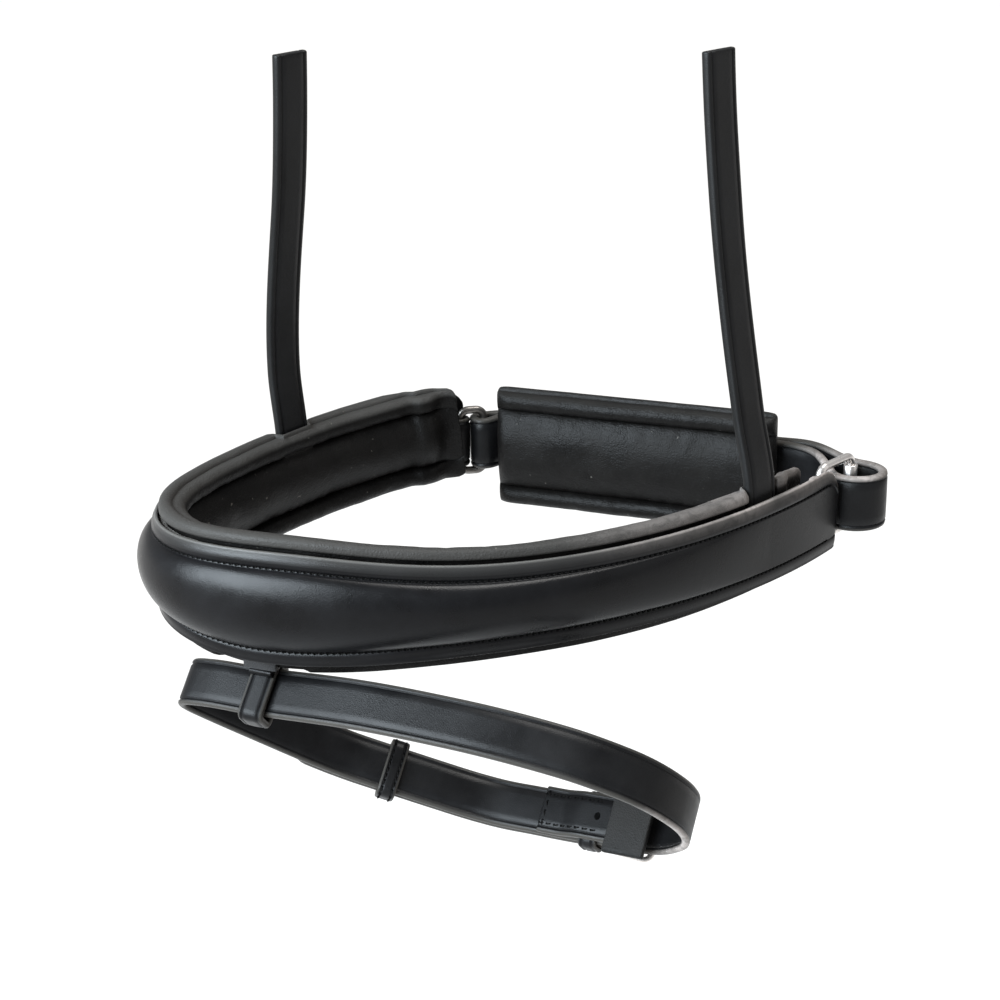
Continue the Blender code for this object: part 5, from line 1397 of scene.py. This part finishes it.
def jaw_parts():
    """The jaw strap and buckle, the keepers and sleeves round the strap, and the cushion."""
    jaw_strap_and_buckle()
    run = Line(((PAD_START, 0.0), (PAD_END, 0.0)))
    low = -JAW_THICK / 2
    over_billet = jaw_billet_height() + JAW_THICK / 2
    over_strap = JAW_THICK + CLEARANCE + JAW_THICK / 2
    keeper, sleeve = (KEEPER_THICK, JAW_KEEPER_WIDTH), (SLEEVE_THICK, SLEEVE_LENGTH)
    for node, at, high, size, body in (
            ("jaw_fixed_keeper", JAW_FIXED_KEEPER_AT, over_billet, keeper, "noseband"),
            ("jaw_runner_keeper", JAW_RUNNER_AT, over_billet, keeper, "jaw_runner_keeper"),
            ("jaw_pad_sleeve_far", FAR_SLEEVE_AT, over_strap, sleeve, "jaw_cushion"),
            ("jaw_pad_sleeve_near", NEAR_SLEEVE_AT, over_strap, sleeve, "jaw_cushion")):
        matrix = JAW @ across_strap(run, at - PAD_START)
        obj = band(node + "_band", low, high, JAW_WIDTH, *size, matrix)
        dress(obj, STRAP, "bridle_leather", body, node)
    backing_outer = low - KEEPER_SLACK - SLEEVE_THICK - CLEARANCE
    pad_outer = backing_outer - PAD_BACKING_THICK - CLEARANCE
    first, last = PAD_BACKING_INSET, run.length - PAD_BACKING_INSET
    stations = even_rows(first, last)
    end = np.minimum(stations - first, last - stations)
    half = PAD_HEIGHT / 2 - PAD_BACKING_INSET - corner_inset(end, PAD_CORNER)
    c, t, edge = strap_section(half, PAD_BACKING_THICK)
    obj = ribbon("jaw_pad_backing_leather", run, stations,
                 (c, t + backing_outer - PAD_BACKING_THICK / 2, edge), JAW)
    dress(obj, STRAP, "bridle_leather", "jaw_cushion", "jaw_pad_backing")
    stations = even_rows(0.0, run.length, PAD_STEP, CUSHION_END)
    end = np.minimum(stations, run.length - stations)
    half = PAD_HEIGHT / 2 - corner_inset(end, PAD_CORNER * 0.5) * 0.9
    share = np.sqrt(np.clip(1 - (1 - np.clip(end / PAD_SWELL, 0, 1)) ** 2, 0, 1))
    sizes = (PAD_ROLL, PAD_ROLL_THICK, PAD_GROOVE_THICK, PAD_THICK, PAD_RIM_THICK)
    obj = cushion("jaw_pad_cushion", run, stations, -half, half, np.full_like(stations, pad_outer),
                  sizes, share, JAW, strength=1.15, seed=11.0, rim_highlight=0.32)
    dress(obj, SOFT, "soft_leather", "jaw_cushion", "jaw_pad", fill=0.75)


# Flash strap

FLASH_LAYER = FLASH_THICK + CLEARANCE
FLASH_SPREAD = FLASH_THICK + KEEPER_SLACK + FLASH_KEEPER_THICK + CLEARANCE
FLASH_OVER = billet_over(FLASH_BUCKLE_WIRE, FLASH_TONGUE_WIRE, FLASH_THICK, FLASH_THICK)


def flash_frame():
    """Frame of the flash strap, on the tab's hinge line."""
    x, y = NOSE.spot(TAB_S, LAYER - TAB_THICK / 2)
    way = -NOSE.way(TAB_S)
    heading = math.degrees(math.atan2(way[1], way[0])) + HINGE_TURN
    return frame_at(x, y, heading, HINGE_Z) @ Matrix.Rotation(math.radians(-FLASH_TILT), 4, "X")


def flash_apart(s):
    """How far the sewn tail's middle stands from the strand's: more under the fixed keeper."""
    past = FLASH_FIXED_KEEPER_AT + FLASH_KEEPER_WIDTH / 2 + CLEARANCE
    return np.interp(s, (past, past + FLASH_KEEPER_WIDTH), (FLASH_SPREAD, FLASH_LAYER))


def flash_lines():
    """The strap's outer strand, its whole route from sewn end to tip, and the buckle's bar."""
    x, y, heading = FLASH_BAR
    bar = moved(((0.0, FLASH_LAYER / 2, 0.0),), x, y, heading)[0]
    bar = (bar[0], bar[1] + FLASH_OUT, heading - 180.0)
    strand = [(a, b + FLASH_OUT, turn) for a, b, turn in FLASH_MAIN]
    main = Line(curve(moved(((-FLASH_LEAF_END, FLASH_SPREAD / 2, 180.0),), *bar) + strand))
    radius = fold_radius(FLASH_BUCKLE_WIRE, FLASH_THICK)
    along = np.linspace(FLASH_TAIL_LENGTH, 0.0, int(FLASH_TAIL_LENGTH / ROUTE_STEP))
    tail = main.spot(along, flash_apart(along))
    around = curve([main.anchor(0.0, FLASH_SPREAD, back=True), *moved(fold(radius), *bar),
                    main.anchor(0.0)])
    under = FLASH_BUCKLE_WIRE + BEND_CLEARANCE + FLASH_THICK / 2
    front = moved(((0.0, under, 0.0),), FLASH_BUCKLE_LENGTH, FLASH_BUCKLE_RISE, FLASH_BILLET_CLIMB)
    through = moved((*front, (0.0, FLASH_OVER, 180.0)), *bar)
    back = curve([strand[-1], *through, main.anchor(FLASH_BILLET_JOIN, -FLASH_LAYER)])
    billet = main.beside(FLASH_BILLET_JOIN, FLASH_BILLET_END, -FLASH_LAYER)
    return main, Line(np.vstack([tail, around, main.points, back, billet])), bar


def flash_parts():
    """The flash strap and its buckle, keepers, guard, loop and the stitches of its sewn tail."""
    hinge = flash_frame()
    main, route, bar = flash_lines()
    low = -FLASH_LOW
    wide = tip_half(FLASH_WIDTH / 2, route.length, FLASH_TIP_TAPER)
    # The flash strap's right bend has its cut edges painted pale on both sides as a highlight
    highlight_at = tuple(hinge @ Vector((0.1250, 0.0400 + FLASH_OUT, low - 0.0200)))
    obj = strap("flash_strap_leather", route, FLASH_WIDTH, FLASH_THICK, height=low, matrix=hinge,
                half=wide, both=True, crease_in=FLASH_CREASE_IN, seed=8.0,
                painted_highlight=((highlight_at, 0.032, True),))
    x, drop, slope = FLASH_SLOT
    slot = moved(((x, FLASH_OVER + drop, slope),), *bar)[0]
    places = FLASH_RUNNER_AT + HOLE_PITCH * np.array([-1.0, 0.0, 1.0])
    place = hinge @ frame_at(*bar, low)
    carve(obj, slit_cutter("flash_slit", place, FLASH_BUCKLE_WIRE, FLASH_TONGUE_WIRE, FLASH_THICK),
          slot_cutter("flash_slot", hinge, *slot, FLASH_THICK, low),
          *hole_cutters("flash", hinge, main, places, -FLASH_LAYER, FLASH_THICK, low))
    dress(obj, STRAP, "bridle_leather", "flash", "flash_strap")
    buckle("flash_buckle", place, FLASH_BUCKLE_LENGTH, FLASH_BUCKLE_RISE, FLASH_BUCKLE_WIRE,
           FLASH_TONGUE_WIRE, FLASH_WIDTH, False, ("flash", "flash_buckle_tongue", None))
    half = FLASH_THICK / 2
    for node, at, thick, body in (
            ("flash_fixed_keeper", FLASH_FIXED_KEEPER_AT, FLASH_KEEPER_THICK, "flash"),
            ("flash_runner_keeper", FLASH_RUNNER_AT, KEEPER_THICK, "flash_runner_keeper")):
        matrix = hinge @ across_strap(main, at, low)
        sizes = (-FLASH_LAYER - half, half, FLASH_WIDTH, thick)
        obj = band(node + "_band", *sizes, FLASH_KEEPER_WIDTH, matrix)
        if node == "flash_runner_keeper":
            row = FLASH_KEEPER_WIDTH / 2 - KEEPER_CREASE_IN
            band_stitches("flash_runner_stitches", *sizes, matrix, body, (-row, row))
        dress(obj, STRAP, "bridle_leather", body, node)
    reach = fold_reach(FLASH_BUCKLE_WIRE, FLASH_TONGUE_WIRE, FLASH_THICK)
    middle = -reach - CLEARANCE - FLASH_GUARD_THICK / 2
    guard = Line([(end, middle) for end in FLASH_GUARD])
    obj = strap("flash_guard_leather", guard, FLASH_GUARD_WIDTH, FLASH_GUARD_THICK, matrix=place,
                wave=0.0)
    dress(obj, GUARD, "bridle_leather", "flash", "flash_guard")
    flash_loop(hinge)

    def inner(s):
        return float(flash_apart(s)) + half + 0.00012
    row, end = TAIL_STITCH_FROM_MIDDLE, FLASH_TAIL_LENGTH - 0.0015
    places = []
    for height in (low - row, low + row):
        places += row_places(main, 0.0010, end, height, inner, TAIL_STITCH_PITCH)
    places += upright_places(main, end, low - row, low + row, inner(FLASH_TAIL_LENGTH),
                             TAIL_STITCH_PITCH)
    # The tail's hole is not cut: a flat disc painted near black stands for the shade in it
    spot = row_places(main, FLASH_TAIL_HOLE_AT, FLASH_TAIL_HOLE_AT + 0.0001, low,
                      inner(FLASH_TAIL_HOLE_AT) + 0.0001, 1.0)
    obj = stitch_mesh("flash_tail_hole", spot[:1], length=0.0002, radius=0.00002, matrix=hinge,
                      pit=FLASH_TAIL_HOLE)
    dress(obj, THREAD, "bridle_leather", "flash")
    obj = stitch_mesh("flash_tail_stitches", places, matrix=hinge)
    dress(obj, THREAD, "bridle_leather", "flash")


def cutter(name, radius_x, radius_y, depth, sides, matrix):
    """A round or oval tool along Z that is used once."""
    bm = bmesh.new()
    bmesh.ops.create_cone(bm, cap_ends=True, segments=sides, radius1=1.0, radius2=1.0, depth=depth)
    bmesh.ops.scale(bm, vec=(radius_x, radius_y, 1.0), verts=bm.verts)
    mesh = bpy.data.meshes.new(name)
    bm.to_mesh(mesh)
    bm.free()
    return new_object(name, mesh, matrix, sharp=40.0)


def carve(obj, *tools):
    """Takes the tools out of a piece and then removes them."""
    for tool in tools:
        modifier = obj.modifiers.new(tool.name, "BOOLEAN")
        modifier.object = tool
        modifier.operation = "DIFFERENCE"
    bpy.context.view_layer.update()
    result = baked(obj)
    obj.modifiers.clear()
    obj.data = result
    for tool in tools:
        bpy.data.objects.remove(tool)


def across(x, y, heading, height):
    """Frame of a tool that goes through a strap."""
    return frame_at(x, y, heading, height) @ Matrix.Rotation(math.radians(90.0), 4, "X")


def slit_cutter(name, matrix, bar_wire, tongue_wire, thick):
    """Slit in folded leather for the tongue's hook, no deeper than the leather."""
    radius = fold_reach(bar_wire, tongue_wire, thick) + CLEARANCE / 2
    return cutter(name, radius, radius, 2 * (tongue_wire + SLIT_SIDE), 24, matrix)


def slot_cutter(name, parent, x, y, heading, thick, height=0.0):
    """Oval slot in a billet where the tongue comes through."""
    return cutter(name, TONGUE_SLOT_LENGTH / 2, TONGUE_SLOT_WIDTH / 2, 2 * thick, HOLE_SIDES,
                  parent @ across(x, y, heading, height))


def hole_cutters(prefix, parent, line, places, left, thick, height=0.0):
    """Round punched holes through the strap beside a line."""
    return [cutter(f"{prefix}_hole_{number + 1}", HOLE_RADIUS, HOLE_RADIUS, 1.2 * thick, HOLE_SIDES,
                   parent @ across(*line.anchor(s, left), height))
            for number, s in enumerate(places)]


def flash_loop(hinge):
    """The loop round the flash strap, and the lug that hangs it in the tab."""
    inner_depth = FLASH_THICK / 2 + LOOP_SLACK
    depth = inner_depth + LOOP_LEATHER / 2
    half = FLASH_WIDTH / 2 + LOOP_SIDE_SLACK + LOOP_LEATHER / 2
    line = box_line(FLASH_OUT - depth, FLASH_OUT + depth, -FLASH_LOW - half, -FLASH_LOW + half,
                    LOOP_CORNER)
    matrix = hinge @ BAND_AXES
    obj = loop_band("flash_loop_band", line, 100, LOOP_LEATHER, LOOP_WIDTH, matrix,
                    crease_in=LOOP_CREASE_IN)
    dress(obj, STRAP, "bridle_leather", "flash", "flash_loop")
    nose = TAB_THICK / 2
    centre = unit(FLASH_TILT - 90.0) * (nose + CLEARANCE / 4)
    wall = FLASH_OUT - inner_depth - LOOP_LEATHER + LUG_SINK
    round_nose = [centre + unit(turn) * nose for turn in np.linspace(90.0, 270.0, 13)]
    lug = [(wall, centre[1] + nose), *round_nose, (wall, centre[1] - nose)]
    obj = wire_object("flash_loop_lug", [(x, y, 0.0) for x, y in lug], LUG_ROUND, True, matrix,
                      dimensions="2D", fill_mode="BOTH", extrude=LOOP_WIDTH / 2 - 0.0006,
                      bevel_resolution=3, offset=-LUG_ROUND, use_fill_caps=False)
    dress(obj, STRAP, "bridle_leather", "flash")


def felt_core():
    """The felt and board inside the nosepiece keep their solids and get a finish."""
    for node in ("nosepiece_filler", "nosepiece_backing"):
        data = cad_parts[node].data
        data.materials.clear()
        data.materials.append(FELT)


# Stage, light and camera

def stage():
    bpy.ops.mesh.primitive_plane_add(size=FLOOR_SIZE, location=(0.0, 0.0, FLOOR_Z))
    floor = bpy.context.object
    floor.name = "studio_floor"
    floor.data.materials.append(tree_of("studio_floor", (FLOOR_GREY,) * 3, 0.8)[0])
    world = bpy.data.worlds.new("studio")
    bpy.context.scene.world = world
    world.use_nodes = True
    sky = world.node_tree.nodes["Background"]
    sky.inputs["Color"].default_value = (1.0, 1.0, 1.0, 1.0)
    sky.inputs["Strength"].default_value = WORLD_STRENGTH
    bpy.context.scene.view_settings.view_transform = "Standard"
    for name, kind, place, size, power, colour in LIGHTS:
        data = bpy.data.lights.new(name, kind)
        if kind == "SUN":
            data.angle = size
        else:
            data.shape = "RECTANGLE"
            data.size, data.size_y = size
        data.energy = power
        data.color = colour
        turn = Vector(place).to_track_quat("Z", "Y").to_matrix().to_4x4()
        linked(name, data, Matrix.Translation(place) @ turn)


def camera():
    data = bpy.data.cameras.new("camera")
    data.lens = CAMERA_LENS
    data.sensor_width = CAMERA_SENSOR
    data.clip_start, data.clip_end = CAMERA_CLIP
    elevation, azimuth = math.radians(CAMERA_ELEVATION), math.radians(CAMERA_AZIMUTH)
    right = Vector((math.cos(azimuth), math.sin(azimuth), 0.0))
    level = math.cos(elevation)
    back = Vector((right.y * level, -right.x * level, math.sin(elevation)))
    matrix = Matrix((right, back.cross(right), back)).transposed().to_4x4()
    bpy.context.scene.camera = linked("camera", data, Matrix.Translation(CAMERA_PLACE) @ matrix)


camera()
stage()
nosepiece_leather()
nosepiece_lining()
felt_core()
hanger("near_hanger", NEAR_HANGER_AT, NEAR_HANGER_ROUTE)
hanger("far_hanger", FAR_HANGER_S, FAR_HANGER_ROUTE)
flash_tab()
rings()
jaw_parts()
flash_parts()
